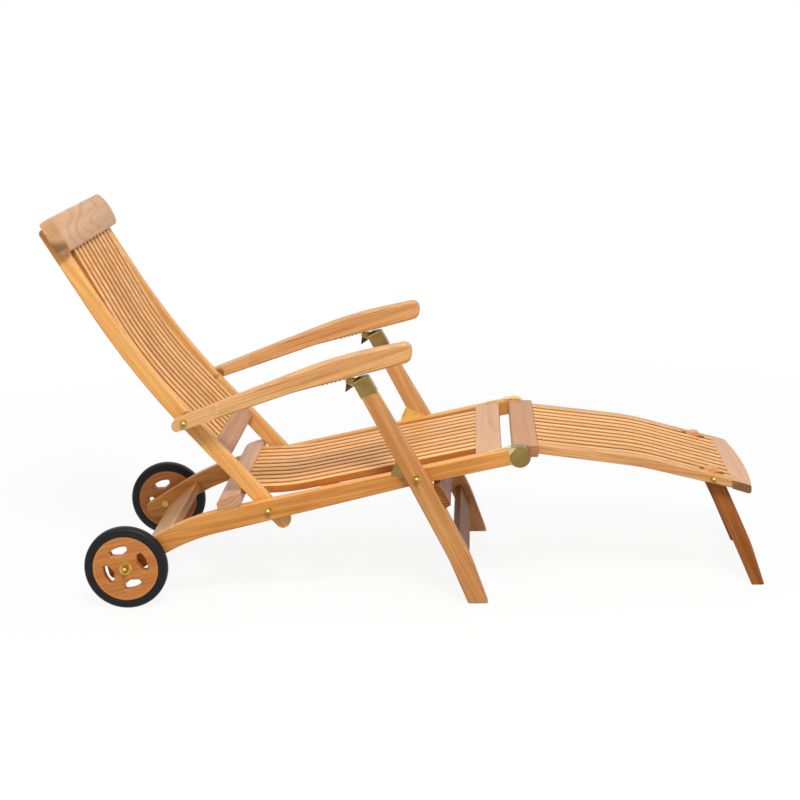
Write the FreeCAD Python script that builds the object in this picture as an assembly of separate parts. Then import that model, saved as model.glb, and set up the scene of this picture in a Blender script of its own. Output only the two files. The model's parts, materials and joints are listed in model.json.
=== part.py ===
import FreeCAD, Part
import math
import os

os.makedirs("parts", exist_ok=True)
V = FreeCAD.Vector

# A folding steamer deck chair in teak with brass fittings, in millimetres.
# +X points to the foot end, +Y to the sitter's left, +Z up. The floor is Z = 0.
# Side profiles are drawn in X and Z from one working origin, and everything is
# centred over the floor at the end. Angles rise from +X.

# Widths across the chair, from the middle plane
LEG_OUT = 305.0            # outer face of the front legs
TIMBER_T = 28.0            # thickness of legs and seat rails
SIDE_GAP = 3.0             # between leg and seat rail
STILE_T = 25.0             # thickness of the back stiles
STILE_GAP = 2.0            # between seat rail and stile
ARM_W = 44.0               # width of an arm
ARM_OUT = 312.0            # outer face of an arm
FOOT_RAIL_OUT = 222.0      # outer face of the footrest rails
FOOT_RAIL_T = 25.0
FOOT_LEG_T = 22.0
FOOT_LEG_GAP = 7.0         # between footrest rail and its leg

# Pivots in the side view
WHEEL_R = 100.0
AXLE_X = -813.0
KNEE = (128.0, 350.0)      # seat to footrest
BACK_PIVOT = (-470.0, 227.0)
LEG_PIVOT = (-115.0, 309.0)
ARM_PIVOT_REACH = 291.3    # from the back pivot up the stile
ARM_PIVOT_DEG = 129.4
LATCH_AHEAD = 387.9        # latch ahead of the arm's pivot
FOOT_PIVOT = (586.3, 275.9)

# Seat rails
SEAT_RISE = 0.2035         # slope of the top edge toward the knee
RAIL_TOP_AT_KNEE = 24.7    # rail top edge above the knee pivot
RAIL_D = 40.0              # depth at the front
RAIL_BEND_R = 600.0
NOSE_R = 23.2              # round end about the knee
TAIL_RISE = 0.615          # slope of the tail over the wheels
TAIL_OVER_AXLE = 28.0      # tail's top edge above the axle
TAIL_BELOW = 37.0          # tail's lower edge below the axle
TAIL_BEHIND = 53.0         # tail beyond the axle
RAIL_BEND_X = -674.0
RAIL_D_AT_BEND = 58.0
RAIL_TAPER_L = 534.0       # from the bend to where the rail is no deeper than in front
CAP_BACK = 27.0            # knee cap behind the knee
STRIP_L = 57.0             # brass strip behind the cap, along the rail's top
STRIP_INSET = 6.0
PLATE_L = 84.0             # wear plate along the leg

# Back
STILE_W = 38.0
STILE_TOP_W = 34.0
STILE_LOW_DEG = 131.5
STILE_TURN_DEG = 11.0
STILE_BEND_R = 2800.0
STILE_TAIL = 63.0          # stile below its pivot
STILE_TO_BEND = 455.0      # pivot to the bend
STILE_ABOVE_BEND = 392.0
HEAD_H = 90.0
HEAD_T = 27.0
HEAD_HALF = 274.0
HEAD_R = 16.0              # corner rounding of the headrest
HEAD_CROWN = 8.0           # swell of its front
HEAD_ABOVE = 13.0          # headrest beyond the tops of the stiles
HEAD_PROUD = 14.5          # its face ahead of theirs
CROSS_H = 53.0             # rail at the foot of the back slats
CROSS_T = 24.0
CROSS_TO_SLATS = 203.5     # from the back pivot to the foot of the slats
BRACE_T = 16.0             # batten behind the back slats

# Boards, slats and battens
BOARD_T = 26.0
SLAT_T = 12.0
SEAT_SLAT_T = 18.0
SLAT_W = 25.0
SLAT_EDGE_GAP = 21.5       # between the outermost back slat and the stile
SLAT_COUNT = 11
FOOT_SLAT_W = 25.0
FOOT_SLAT_GAP = 13.5       # between the outermost slat and the edge slat
FOOT_SLAT_COUNT = 9
EDGE_SLAT_W = 21.0
BATTEN_W = 40.0
BATTEN_D = 20.0
BATTEN_AT = 75.0           # battens ahead of the slats' bend and behind the leg's pivot
SEAT_BEND_L = 112.0        # level rear end of the seat slats
SEAT_CROWN = 3.0           # seat slats above the rails at the front board
SLAT_DIP = 2.0             # ends of the seat slats below that line
BACK_BOARD_X = -537.0      # front edge of the board behind the seat
BACK_BOARD_L = 57.0
BACK_BOARD_UP = 4.5        # its front edge above the seat slats
BACK_BOARD_FALL = 23.0     # from there to its rear edge
FRONT_BOARD_X = 24.0
FRONT_BOARD_L = 62.0
PLANK_L = 96.7             # plank between the tails, along its slant
PLANK_T = 20.0
PLANK_DEG = 39.1

# Arms, measured from their pivots
ARM_OVER = 14.5
ARM_UNDER = 15.5
ARM_TAIL = 33.0
ARM_TAIL_DEG = 20.6
ARM_TOP_RISE = 0.375       # slope of the top, then of its front stretch
ARM_TOP_RISE_FRONT = 0.195
ARM_LOW_RISE = 0.3276      # slope of the underside, then of its front stretch
ARM_LOW_RISE_FRONT = 0.247
ARM_TO_LOW_BEND = 255.0
ARM_TO_TOP_BEND = 356.0
ARM_REACH = 536.0
ARM_NOSE_R = 21.0
ARM_SET_BACK = 4.0         # outer face cut back round the bolt

# Front legs
LEG_BEHIND_TOP = 20.15     # rear edge behind the top's centre
LEG_BEHIND_PIVOT = 26.47   # rear edge behind the pivot
LEG_TOP_W = 36.6
LEG_KNEE_W = 56.0          # widest, just below the pivot
LEG_KNEE_Z = 292.0
LEG_LOW_W = 51.0
LEG_BEND_Z = 110.0
LEG_FOOT_X = 1.0
LEG_FOOT_L = 47.5
UPPER_AHEAD = 38.0         # upper stretcher ahead of the leg's pivot and below it
UPPER_BELOW = 21.0
UPPER_SET_IN = 2.0         # its ends inside the legs' outer faces
LOWER_TOP_Z = 132.0        # lower stretcher
LOWER_LOW_Z = 78.0
LOWER_AHEAD = 35.9         # ahead of the legs' rear edge
LOWER_T = 19.0

# Footrest
FOOT_STEP = 4.1            # rails' tops below the first board's
FOOT_FALL = 0.133          # slope near the knee
FOOT_DROP = 0.283          # slope at the far end
FOOT_RAIL_D = 22.0
FOOT_BEND_X = 420.0
FOOT_END_X = 632.0
END_BOARD_L = 48.0
END_BOARD_BOW = 13.5
END_BOARD_T = 21.0
END_TILT = -17.0
END_PROUD = 2.0            # end board beyond the rails at each side
FIRST_BEHIND = 18.0        # first board behind the knee
FIRST_ABOVE = 20.0         # its top above the knee
FIRST_BOARD_L = 62.0
FOOT_LEG_W = 42.0
FOOT_LEG_END_W = 28.0
FOOT_LEG_REACH = 292.0
FOOT_LEG_DEG = -67.2
FOOT_LEG_TO_BEND = 185.5
RUNG_REACH = 150.0         # stretcher of the footrest's legs, down from their pivot
RUNG_W = 44.0
RUNG_T = 16.0
NOTCH = 29.0               # half length of the notch in an edge slat
FOOT_BATTEN_D = 12.0
FOOT_BATTEN_BACK = 120.0   # batten behind the bend of the footrest

# Brass
SHEET = 2.0
PIN_R = 5.0
AXLE_R = 6.0
NUT_R = 7.0
BOLT_HEAD_T = 4.0
BOLT_HEAD_R = 8.4
SUNK_HEAD_R = 6.5          # head let into the inner side of a stile
SUNK = 5.0                 # how deep that head's seat lies
RUN = 0.05                 # radial running clearance of a pin in its bore
AIR = 0.4                  # between parts that move past each other
CAP_WALL = 1.4             # brass at the sides of a leg's top
CAP_ROUND = 13.0           # rounding over the top of that cap
CAP_SHOULDER_DEG = 28.7    # line where the rounding starts, through the leg's top
CAP_SHOULDER_BACK = 16.5
STRAP_LOW = 64.0           # strap down the leg's front, below its top
STRAP_W = 18.0
RACK_T = 1.6
TOOTH_H = 2.4
TOOTH_PITCH = 10.0
TOOTH_COUNT = 6
LATCH_R = 7.8
LATCH_HALF_W = 4.6
LATCH_AIR = 0.56           # between the latch's drum and the rack
LATCH_PIN_R = 2.0
EAR_T = 3.2
EAR_R = 6.0
RACK_W = 16.0
RACK_FRONT = 62.0          # rack ahead of the latch and behind it
RACK_REAR = 110.0
KNEE_PIN_R = 4.0
KNEE_PIN_L = 46.0          # in the footrest's first board

# Wheels
WHEEL_OUT = 313.0          # outer face
TYRE_W = 28.6
TYRE_D = 21.5              # radial depth of the rubber
SPOKE_WINDOWS = 4
WINDOW_R = 54.0
WINDOW_HALF_DEG = 25.0
WINDOW_TURN_DEG = -20.0
BUSH_R = 15.5
DISC_INSET = 1.3           # disc's faces inside the tyre's

SOFT = 4.0                 # rounding of the long edges of heavy timber
SOFT_SLAT = 2.0
TONGUE = 18.0              # tenon length


def rad(deg):
    return math.radians(deg)


def going(point, deg, length):
    """The point a length away at an angle, in the side view."""
    return (point[0] + length * math.cos(rad(deg)), point[1] + length * math.sin(rad(deg)))


def corner_wire(points):
    """A closed outline in X and Z, each corner (x, z, r) rounded by its r."""
    n = len(points)
    edges = []
    ends = []
    for i in range(n):
        x, z, r = points[i]
        p = V(x, 0, z)
        a = V(points[i - 1][0], 0, points[i - 1][1])
        b = V(points[(i + 1) % n][0], 0, points[(i + 1) % n][1])
        ua = (a - p).normalize()
        ub = (b - p).normalize()
        half = 0.5 * ua.getAngle(ub)
        if r <= 0 or half > rad(89.8):
            ends.append((p, p, p))
            continue
        t = min(r / math.tan(half), 0.48 * (a - p).Length, 0.48 * (b - p).Length)
        r = t * math.tan(half)
        mid = p + (ua + ub).normalize() * (r / math.sin(half) - r)
        ends.append((p + ua * t, mid, p + ub * t))
    for i in range(n):
        start, mid, stop = ends[i]
        if (start - stop).Length > 1e-6:
            edges.append(Part.Arc(start, mid, stop).toShape())
        after = ends[(i + 1) % n][0]
        if (after - stop).Length > 1e-6:
            edges.append(Part.LineSegment(stop, after).toShape())
    return Part.Wire(edges)


def slab(points, y0, y1):
    """A board with the given side outline between two planes across the chair."""
    face = Part.Face(corner_wire(points))
    solid = face.extrude(V(0, y1 - y0, 0))
    return solid.translate(V(0, y0, 0))


def soften(shape, radius):
    """Round the outline edges on the two outermost faces across the chair."""
    box = shape.BoundBox
    chosen = []
    for edge in shape.Edges:
        ys = [v.Y for v in edge.Vertexes]
        flat = max(ys) - min(ys) < 1e-6
        outer = min(abs(ys[0] - box.YMin), abs(ys[0] - box.YMax)) < 1e-6
        if flat and outer:
            chosen.append(edge)
    return shape.makeFillet(radius, chosen)


def ease(shape, radius):
    """Round only the long edges that run across the chair."""
    chosen = []
    for edge in shape.Edges:
        ys = [v.Y for v in edge.Vertexes]
        if max(ys) - min(ys) > 0.8 * shape.BoundBox.YLength:
            chosen.append(edge)
    return shape.makeFillet(radius, chosen)


def rod(centre, y0, y1, radius):
    return Part.makeCylinder(radius, y1 - y0, V(centre[0], y0, centre[1]), V(0, 1, 0))


def acorn_nut(centre, y, radius):
    """A washer and a domed nut standing outward from the plane y."""
    washer = rod(centre, y, y + 1.6, 1.3 * radius)
    barrel = rod(centre, y + 1.6, y + 1.6 + 0.6 * radius, radius)
    dome = Part.makeSphere(radius, V(centre[0], y + 1.6 + 0.6 * radius, centre[1]))
    return washer.fuse([barrel, dome]).removeSplitter()


def bolt(centre, y_head, y_nut, radius, nut_radius, head_radius):
    """A through bolt with a round head inside and a domed nut outside."""
    head = rod(centre, y_head - BOLT_HEAD_T, y_head, head_radius)
    shank = rod(centre, y_head - 0.5 * BOLT_HEAD_T, y_nut + 2.0, radius)
    nut = acorn_nut(centre, y_nut, nut_radius)
    return shank.fuse([head, nut]).removeSplitter()


def mirrored(shape):
    return shape.mirror(V(0, 0, 0), V(0, 1, 0))


nodes = {}


def both(name, shape):
    """The same piece on the sitter's left and, mirrored, on the right."""
    nodes[name + "_left"] = shape
    nodes[name + "_right"] = mirrored(shape)


def twins(name, shape):
    """Two identical fasteners as separate solids of one node."""
    nodes[name] = Part.Compound([shape, mirrored(shape)])


# Planes across the chair that follow from the widths
leg_in = LEG_OUT - TIMBER_T
rail_out = leg_in - SIDE_GAP
rail_in = rail_out - TIMBER_T
stile_out = rail_in - STILE_GAP
stile_in = stile_out - STILE_T
arm_in = ARM_OUT - ARM_W
foot_rail_in = FOOT_RAIL_OUT - FOOT_RAIL_T
foot_leg_out = foot_rail_in - FOOT_LEG_GAP
foot_leg_in = foot_leg_out - FOOT_LEG_T
leg_mid = LEG_OUT - 0.5 * TIMBER_T
wheel_in = WHEEL_OUT - TYRE_W
end_half = FOOT_RAIL_OUT + END_PROUD
slat_pitch = (2.0 * (stile_in - SLAT_EDGE_GAP) - SLAT_W) / (SLAT_COUNT - 1)
foot_slat_span = 2.0 * (foot_rail_in - EDGE_SLAT_W - FOOT_SLAT_GAP)
foot_slat_pitch = (foot_slat_span - FOOT_SLAT_W) / (FOOT_SLAT_COUNT - 1)
AXLE = (AXLE_X, WHEEL_R)
ARM_PIVOT = going(BACK_PIVOT, ARM_PIVOT_DEG, ARM_PIVOT_REACH)


def rail_top(x):
    return KNEE[1] + RAIL_TOP_AT_KNEE + SEAT_RISE * (x - KNEE[0])


def rail_low(x):
    return rail_top(x) - RAIL_D


def tail_top(x):
    return rail_top(RAIL_BEND_X) + TAIL_RISE * (x - RAIL_BEND_X)


# Seat rails: straight, deeper toward the back, then bent down over the wheels
tail_lift = AXLE[1] + TAIL_OVER_AXLE - tail_top(AXLE[0])
tail_x = AXLE[0] - TAIL_BEHIND
taper_x = RAIL_BEND_X + RAIL_TAPER_L
rail_end_x = KNEE[0] - 8.0
rail_points = [
    (rail_end_x, rail_top(rail_end_x), 0),
    (RAIL_BEND_X, rail_top(RAIL_BEND_X), RAIL_BEND_R),
    (tail_x, tail_top(tail_x) + tail_lift, 7.0),
    (tail_x + 7.0, AXLE[1] - TAIL_BELOW, 14.0),
    (AXLE[0] - 4.0, AXLE[1] - TAIL_BELOW + 0.5, 30.0),
    (RAIL_BEND_X - 3.0, rail_top(RAIL_BEND_X) - RAIL_D_AT_BEND, RAIL_BEND_R),
    (taper_x, rail_low(taper_x), 300.0),
    (rail_end_x, rail_low(rail_end_x), 0),
]
rail_body = slab(rail_points, rail_in, rail_out)
nose = rod(KNEE, rail_in, rail_out, NOSE_R)
rail = soften(rail_body.fuse(nose).removeSplitter(), SOFT)
rail_blank = rail_body.fuse(nose)

# Brass cap round the nose, with a tongue along the rail's top
cap_x = KNEE[0] - CAP_BACK
cap_join_x = KNEE[0] - 9.0
cap_points = [
    (cap_x, rail_top(cap_x) + SHEET, 0),
    (cap_join_x, rail_top(cap_join_x) + SHEET, 0),
    (cap_join_x, rail_low(cap_join_x) - 0.5, 0),
    (cap_x + 5.0, rail_low(cap_x + 5.0) - 0.5, 6.0),
]
cap_disc = rod(KNEE, rail_in, rail_out + SHEET, NOSE_R + SHEET)
cap_body = slab(cap_points, rail_in, rail_out + SHEET).fuse(cap_disc).removeSplitter()
strip_end = cap_x + 7.0
strip_start = strip_end - STRIP_L
strip_points = [
    (strip_start, rail_top(strip_start), 0),
    (strip_end, rail_top(strip_end), 0),
    (strip_end, rail_top(strip_end) + SHEET, 0),
    (strip_start, rail_top(strip_start) + SHEET, 0),
]
strip = slab(strip_points, rail_in + STRIP_INSET, rail_out - STRIP_INSET)
knee_cap = cap_body.fuse(strip).cut(rail_blank)

# Pins, bolts and axles of the seat frame
knee_pin = rod(KNEE, rail_in - KNEE_PIN_L, rail_out, KNEE_PIN_R)
leg_bolt = bolt(LEG_PIVOT, rail_in, LEG_OUT + AIR, PIN_R, NUT_R, BOLT_HEAD_R)
axle_head = rod(AXLE, rail_in - 5.0, rail_in, NUT_R + 1.5)
axle_shank = rod(AXLE, rail_in - 2.0, WHEEL_OUT + 6.0, AXLE_R)
axle_sleeve = rod(AXLE, rail_out, wheel_in - AIR, 2.0 * AXLE_R)
axle_nut = acorn_nut(AXLE, WHEEL_OUT + 3.0, NUT_R + 1.0)
axle_bolt = axle_shank.fuse([axle_head, axle_sleeve, axle_nut]).removeSplitter()

rail = rail.cut(rod(KNEE, rail_in - 1, rail_out + 1, KNEE_PIN_R))
rail = rail.cut(rod(LEG_PIVOT, rail_in - 1, rail_out + 1, PIN_R))
rail = rail.cut(rod(AXLE, rail_in - 1, rail_out + 1, AXLE_R))
rail = rail.cut(rod(BACK_PIVOT, rail_in - 1, rail_out + 1, PIN_R + RUN))

# Brass wear plate between the rail and the leg
plate_x = LEG_PIVOT[0] + 22.0 - PLATE_L
plate_points = [
    (plate_x + 15.0, LEG_PIVOT[1] + 39.0, 4.0),
    (plate_x, LEG_PIVOT[1] + 3.5, 5.0),
    (LEG_PIVOT[0] + 15.0, LEG_PIVOT[1] - 18.5, 6.0),
    (LEG_PIVOT[0] + 22.0, LEG_PIVOT[1] + 8.5, 6.0),
]
wear_plate = slab(plate_points, rail_out, rail_out + SHEET).cut(rod(LEG_PIVOT, rail_in, LEG_OUT, PIN_R))

both("seat_rail", rail)
both("knee_cap", knee_cap)
twins("knee_pins", knee_pin)
twins("leg_pivot_bolts", leg_bolt)
twins("wheel_axle_bolts", axle_bolt)
twins("leg_wear_plates", wear_plate)


# Seat surface: level where the back meets it, then parallel to the rails
def seat_surface(x):
    return rail_top(x) + SEAT_CROWN - 0.008 * (x - FRONT_BOARD_X)


slat_bend_x = BACK_BOARD_X + SEAT_BEND_L
seat_rear_z = seat_surface(slat_bend_x) - SLAT_DIP
seat_front_z = seat_surface(FRONT_BOARD_X) - SLAT_DIP
slat_points = [
    (BACK_BOARD_X, seat_rear_z, 0),
    (slat_bend_x, seat_surface(slat_bend_x), 500.0),
    (FRONT_BOARD_X, seat_front_z, 0),
    (FRONT_BOARD_X, seat_front_z - SEAT_SLAT_T, 0),
    (slat_bend_x, seat_surface(slat_bend_x) - SEAT_SLAT_T, 500.0),
    (BACK_BOARD_X, seat_rear_z - SEAT_SLAT_T, 0),
]


def slat_row(points, count, pitch, width, radius):
    """Equal slats side by side across the chair."""
    blank = soften(slab(points, -0.5 * width, 0.5 * width), radius)
    row = []
    for i in range(count):
        row.append(blank.translated(V(0, (i - 0.5 * (count - 1)) * pitch, 0)))
    return row


seat_row = slat_row(slat_points, SLAT_COUNT, slat_pitch, SLAT_W, SOFT_SLAT)
nodes["seat_slats"] = Part.Compound(seat_row)


def slat_under(x):
    """Height of the underside of the seat slats, ahead of their bend."""
    share = (x - slat_bend_x) / (FRONT_BOARD_X - slat_bend_x)
    return seat_surface(slat_bend_x) + share * (seat_front_z - seat_surface(slat_bend_x)) - SEAT_SLAT_T


def batten_points(x):
    return [
        (x, slat_under(x), 0),
        (x, slat_under(x) - BATTEN_D, 0),
        (x + BATTEN_W, slat_under(x + BATTEN_W) - BATTEN_D, 0),
        (x + BATTEN_W, slat_under(x + BATTEN_W), 0),
    ]


nodes["seat_batten_rear"] = slab(batten_points(slat_bend_x + BATTEN_AT), -rail_in, rail_in)
nodes["seat_batten_front"] = slab(batten_points(LEG_PIVOT[0] - BATTEN_AT), -rail_in, rail_in)

# Board behind the seat: it lies on the rails and stops the reclined back
back_z = seat_rear_z + BACK_BOARD_UP
back_board_end = BACK_BOARD_X - BACK_BOARD_L
rear_board_points = [
    (back_board_end + 4.0, rail_top(back_board_end + 4.0), 3.0),
    (BACK_BOARD_X, rail_top(BACK_BOARD_X), 0),
    (BACK_BOARD_X, back_z, 2.0),
    (BACK_BOARD_X - 0.78 * BACK_BOARD_L, back_z - 0.61 * BACK_BOARD_FALL, 9.0),
    (back_board_end, back_z - BACK_BOARD_FALL, 8.0),
]
rear_board = slab(rear_board_points, -rail_out, rail_out)
nodes["seat_rear_board"] = rear_board.cut([rail_blank, mirrored(rail_blank)])

front_end_x = FRONT_BOARD_X + FRONT_BOARD_L
front_board_points = [
    (FRONT_BOARD_X, rail_top(FRONT_BOARD_X), 1.5),
    (FRONT_BOARD_X, rail_top(FRONT_BOARD_X) - BOARD_T, 3.0),
    (front_end_x, rail_top(front_end_x) - BOARD_T, 6.0),
    (front_end_x, rail_top(front_end_x), 6.0),
]
nodes["seat_front_board"] = slab(front_board_points, -rail_in, rail_in)

# Plank between the rails' tails, set on the slant behind the axles
plank_a = (AXLE[0] + 12.0, AXLE[1] - 2.0)
plank_b = going(plank_a, PLANK_DEG, PLANK_L)
plank_c = going(plank_b, PLANK_DEG - 90.0, PLANK_T)
plank_d = going(plank_a, PLANK_DEG - 90.0, PLANK_T)
plank_points = [plank_a + (4.0,), plank_b + (4.0,), plank_c + (3.0,), plank_d + (3.0,)]
nodes["rear_stretcher"] = slab(plank_points, -rail_in, rail_in)

# Wheels: a wooden disc with four windows, a rubber tyre and a brass bush
disc_r = WHEEL_R - TYRE_D
disc_in = wheel_in + DISC_INSET
disc_out = WHEEL_OUT - DISC_INSET
disc = rod(AXLE, disc_in, disc_out, disc_r)
window_end = going((0.0, 0.0), WINDOW_HALF_DEG, WINDOW_R)
window_start = V(window_end[0], 0, -window_end[1])
window_stop = V(window_end[0], 0, window_end[1])
window_arc = Part.Arc(window_start, V(WINDOW_R, 0, 0), window_stop)
window_low = [
    window_stop,
    V(0.69 * WINDOW_R, 0, 0.38 * WINDOW_R),
    V(0.56 * WINDOW_R, 0, 0),
    V(0.69 * WINDOW_R, 0, -0.38 * WINDOW_R),
    window_start,
]
window_edges = [window_arc.toShape()]
for k in range(len(window_low) - 1):
    window_edges.append(Part.LineSegment(window_low[k], window_low[k + 1]).toShape())
window = Part.Face(Part.Wire(window_edges)).extrude(V(0, TYRE_W + 10.0, 0))
upright = [e for e in window.Edges if abs(e.Vertexes[0].Y - e.Vertexes[-1].Y) > TYRE_W]
window = window.makeFillet(3.0, upright)
cuts = []
for k in range(SPOKE_WINDOWS):
    turned = window.rotated(V(0, 0, 0), V(0, 1, 0), WINDOW_TURN_DEG - 360.0 * k / SPOKE_WINDOWS)
    cuts.append(turned.translated(V(AXLE[0], wheel_in - 5.0, AXLE[1])))
disc = disc.cut(cuts)
window_rims = []
for edge in disc.Edges:
    ys = [v.Y for v in edge.Vertexes]
    near_axle = edge.BoundBox.DiagonalLength < 1.2 * WINDOW_R
    flat = max(ys) - min(ys) < 1e-6
    if near_axle and flat and (abs(ys[0] - disc_out) < 1e-6 or abs(ys[0] - disc_in) < 1e-6):
        window_rims.append(edge)
disc = disc.makeChamfer(2.2, window_rims)
axle_room = rod(AXLE, wheel_in - 1, WHEEL_OUT + 4, AXLE_R + RUN)
step = rod(AXLE, WHEEL_OUT, WHEEL_OUT + 2.6, 0.75 * BUSH_R)
bush = rod(AXLE, wheel_in, WHEEL_OUT, BUSH_R).fuse(step).removeSplitter().cut(axle_room)
disc = disc.cut(rod(AXLE, wheel_in - 1, WHEEL_OUT + 1, BUSH_R))
tyre = rod(AXLE, wheel_in, WHEEL_OUT, WHEEL_R)
rim_edges = [e for e in tyre.Edges if abs(e.Vertexes[0].Y - e.Vertexes[-1].Y) < 1e-6]
tyre = tyre.makeFillet(0.42 * TYRE_D, rim_edges).cut(rod(AXLE, wheel_in - 1, WHEEL_OUT + 1, disc_r))
both("wheel_disc", disc)
both("wheel_tyre", tyre)
both("wheel_bush", bush)

# Back: two bent stiles. Each side of a stile is a line, a wide arc and a line
low_dir = STILE_LOW_DEG
top_dir = STILE_LOW_DEG - STILE_TURN_DEG
stile_foot = going(BACK_PIVOT, low_dir, -STILE_TAIL)
stile_bend = going(BACK_PIVOT, low_dir, STILE_TO_BEND)
stile_head = going(stile_bend, top_dir, STILE_ABOVE_BEND)


def stile_side(sign, w_low, w_top):
    """Corner points of one side of the stile; sign +1 is the sitter's side."""
    low = going(stile_foot, low_dir - 90.0 * sign, 0.5 * w_low)
    mid = going(stile_bend, 0.5 * (low_dir + top_dir) - 90.0 * sign, 0.25 * (w_low + w_top))
    top = going(stile_head, top_dir - 90.0 * sign, 0.5 * w_top)
    return low, mid, top


front_side = stile_side(1, STILE_W, STILE_TOP_W)
rear_side = stile_side(-1, STILE_W, STILE_TOP_W)
stile_points = [
    front_side[0] + (18.5,),
    front_side[1] + (STILE_BEND_R,),
    front_side[2] + (8.0,),
    rear_side[2] + (10.0,),
    rear_side[1] + (STILE_BEND_R,),
    rear_side[0] + (18.5,),
]
stile = soften(slab(stile_points, stile_in, stile_out), SOFT)

# Headrest: a thick board let into the fronts of the stiles, its front crowned
head_mid = going(stile_head, top_dir, -0.5 * HEAD_H + HEAD_ABOVE)
head_face = going(head_mid, top_dir - 90.0, 0.5 * STILE_TOP_W + HEAD_PROUD)
head_low = going(head_face, top_dir, -0.5 * HEAD_H)
head_up = going(head_face, top_dir, 0.5 * HEAD_H)
head_back_low = going(head_low, top_dir + 90.0, HEAD_T)
head_back_up = going(head_up, top_dir + 90.0, HEAD_T)
crown = going(head_face, top_dir - 90.0, HEAD_CROWN)
head_ring = [V(p[0], 0, p[1]) for p in (head_low, crown, head_up, head_back_up, head_back_low)]
head_wire = Part.Wire([
    Part.Arc(head_ring[0], head_ring[1], head_ring[2]).toShape(),
    Part.LineSegment(head_ring[2], head_ring[3]).toShape(),
    Part.LineSegment(head_ring[3], head_ring[4]).toShape(),
    Part.LineSegment(head_ring[4], head_ring[0]).toShape(),
])
head_blank = Part.Face(head_wire).extrude(V(0, 2.0 * HEAD_HALF, 0)).translate(V(0, -HEAD_HALF, 0))
headrest = ease(head_blank, 5.0)
# the four corners of the board, seen from the front, are rounded
head_centre = V(head_face[0], 0, head_face[1])
plan = Part.makeBox(2.0 * HEAD_HALF, HEAD_H, 100.0, V(-HEAD_HALF, -0.5 * HEAD_H, -50.0))
plan = plan.makeFillet(HEAD_R, [e for e in plan.Edges if abs(e.Vertexes[0].Z - e.Vertexes[-1].Z) > 50.0])
face_out = V(math.cos(rad(top_dir - 90.0)), 0, math.sin(rad(top_dir - 90.0)))
face_up = V(math.cos(rad(top_dir)), 0, math.sin(rad(top_dir)))
plan.Placement = FreeCAD.Placement(
    head_centre,
    FreeCAD.Rotation(V(0, 1, 0), face_up, face_out, "XYZ"),
)
headrest = headrest.common(plan)
stile = stile.cut(head_blank)
sunk_y = stile_in + SUNK
for pivot in (BACK_PIVOT, ARM_PIVOT):
    stile = stile.cut(rod(pivot, stile_in - 1, stile_out + 1, PIN_R + RUN))
    stile = stile.cut(rod(pivot, stile_in - 1, sunk_y + AIR, SUNK_HEAD_R + AIR))
both("back_stile", stile)
nodes["headrest_board"] = headrest

# Back slats, the rail they stand on and the batten behind them
slat_foot = going(front_side[0], low_dir, STILE_TAIL + CROSS_TO_SLATS)
slat_foot = going(slat_foot, low_dir + 90.0, 7.5)
slat_mid = going(front_side[1], 0.5 * (low_dir + top_dir) - 90.0, -9.0)
slat_mid = going(slat_mid, 0.5 * (low_dir + top_dir), 10.0)
slat_end = going(head_low, top_dir + 90.0, 9.0)


def behind(point, deg, depth):
    return going(point, deg + 90.0, depth)


mid_dir = 0.5 * (low_dir + top_dir)
foot_run = math.degrees(math.atan2(slat_mid[1] - slat_foot[1], slat_mid[0] - slat_foot[0]))
head_run = math.degrees(math.atan2(slat_end[1] - slat_mid[1], slat_end[0] - slat_mid[0]))
back_slat_points = [
    slat_foot + (0,),
    slat_mid + (1500.0,),
    slat_end + (0,),
    behind(slat_end, head_run, SLAT_T) + (0,),
    behind(slat_mid, mid_dir, SLAT_T) + (1500.0,),
    behind(slat_foot, foot_run, SLAT_T) + (0,),
]
back_row = slat_row(back_slat_points, SLAT_COUNT, slat_pitch, SLAT_W, SOFT_SLAT)
nodes["back_slats"] = Part.Compound([s.cut(head_blank) for s in back_row])

cross_low = going(slat_foot, foot_run, -CROSS_H)
cross_points = [
    slat_foot + (1.0,),
    behind(slat_foot, foot_run, CROSS_T) + (3.0,),
    behind(cross_low, foot_run, CROSS_T) + (6.0,),
    cross_low + (6.0,),
]
nodes["back_cross_rail"] = slab(cross_points, -stile_in, stile_in)
brace_a = behind(going(slat_mid, head_run, 20.0), head_run, SLAT_T)
brace_b = going(brace_a, head_run, BATTEN_W)
brace_points = [
    brace_a + (0,),
    behind(brace_a, head_run, BRACE_T) + (3.0,),
    behind(brace_b, head_run, BRACE_T) + (3.0,),
    brace_b + (0,),
]
nodes["back_batten"] = slab(brace_points, -stile_in, stile_in)

back_bolt = bolt(BACK_PIVOT, sunk_y, rail_out + AIR, PIN_R, NUT_R, SUNK_HEAD_R)
back_washer = rod(BACK_PIVOT, stile_out + 0.3, rail_in - 0.3, 2.6 * PIN_R)
twins("back_pivot_bolts", back_bolt.fuse(back_washer).removeSplitter())

# Arms: gently arched, with a bull nose in front, on a bolt through the stile
arm_tail = going(ARM_PIVOT, ARM_TAIL_DEG, -ARM_TAIL)


def arm_over(x):
    return ARM_PIVOT[1] + ARM_OVER + ARM_TOP_RISE * (x - ARM_PIVOT[0])


def arm_under(x):
    return ARM_PIVOT[1] - ARM_UNDER + ARM_LOW_RISE * (x - ARM_PIVOT[0])


arm_knee_x = ARM_PIVOT[0] + ARM_TO_LOW_BEND
arm_top_x = ARM_PIVOT[0] + ARM_TO_TOP_BEND
arm_front_x = ARM_PIVOT[0] + ARM_REACH


def arm_flat(x):
    """Underside of the arm ahead of its bend, where the rack lies."""
    return arm_under(arm_knee_x) + ARM_LOW_RISE_FRONT * (x - arm_knee_x)


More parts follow.
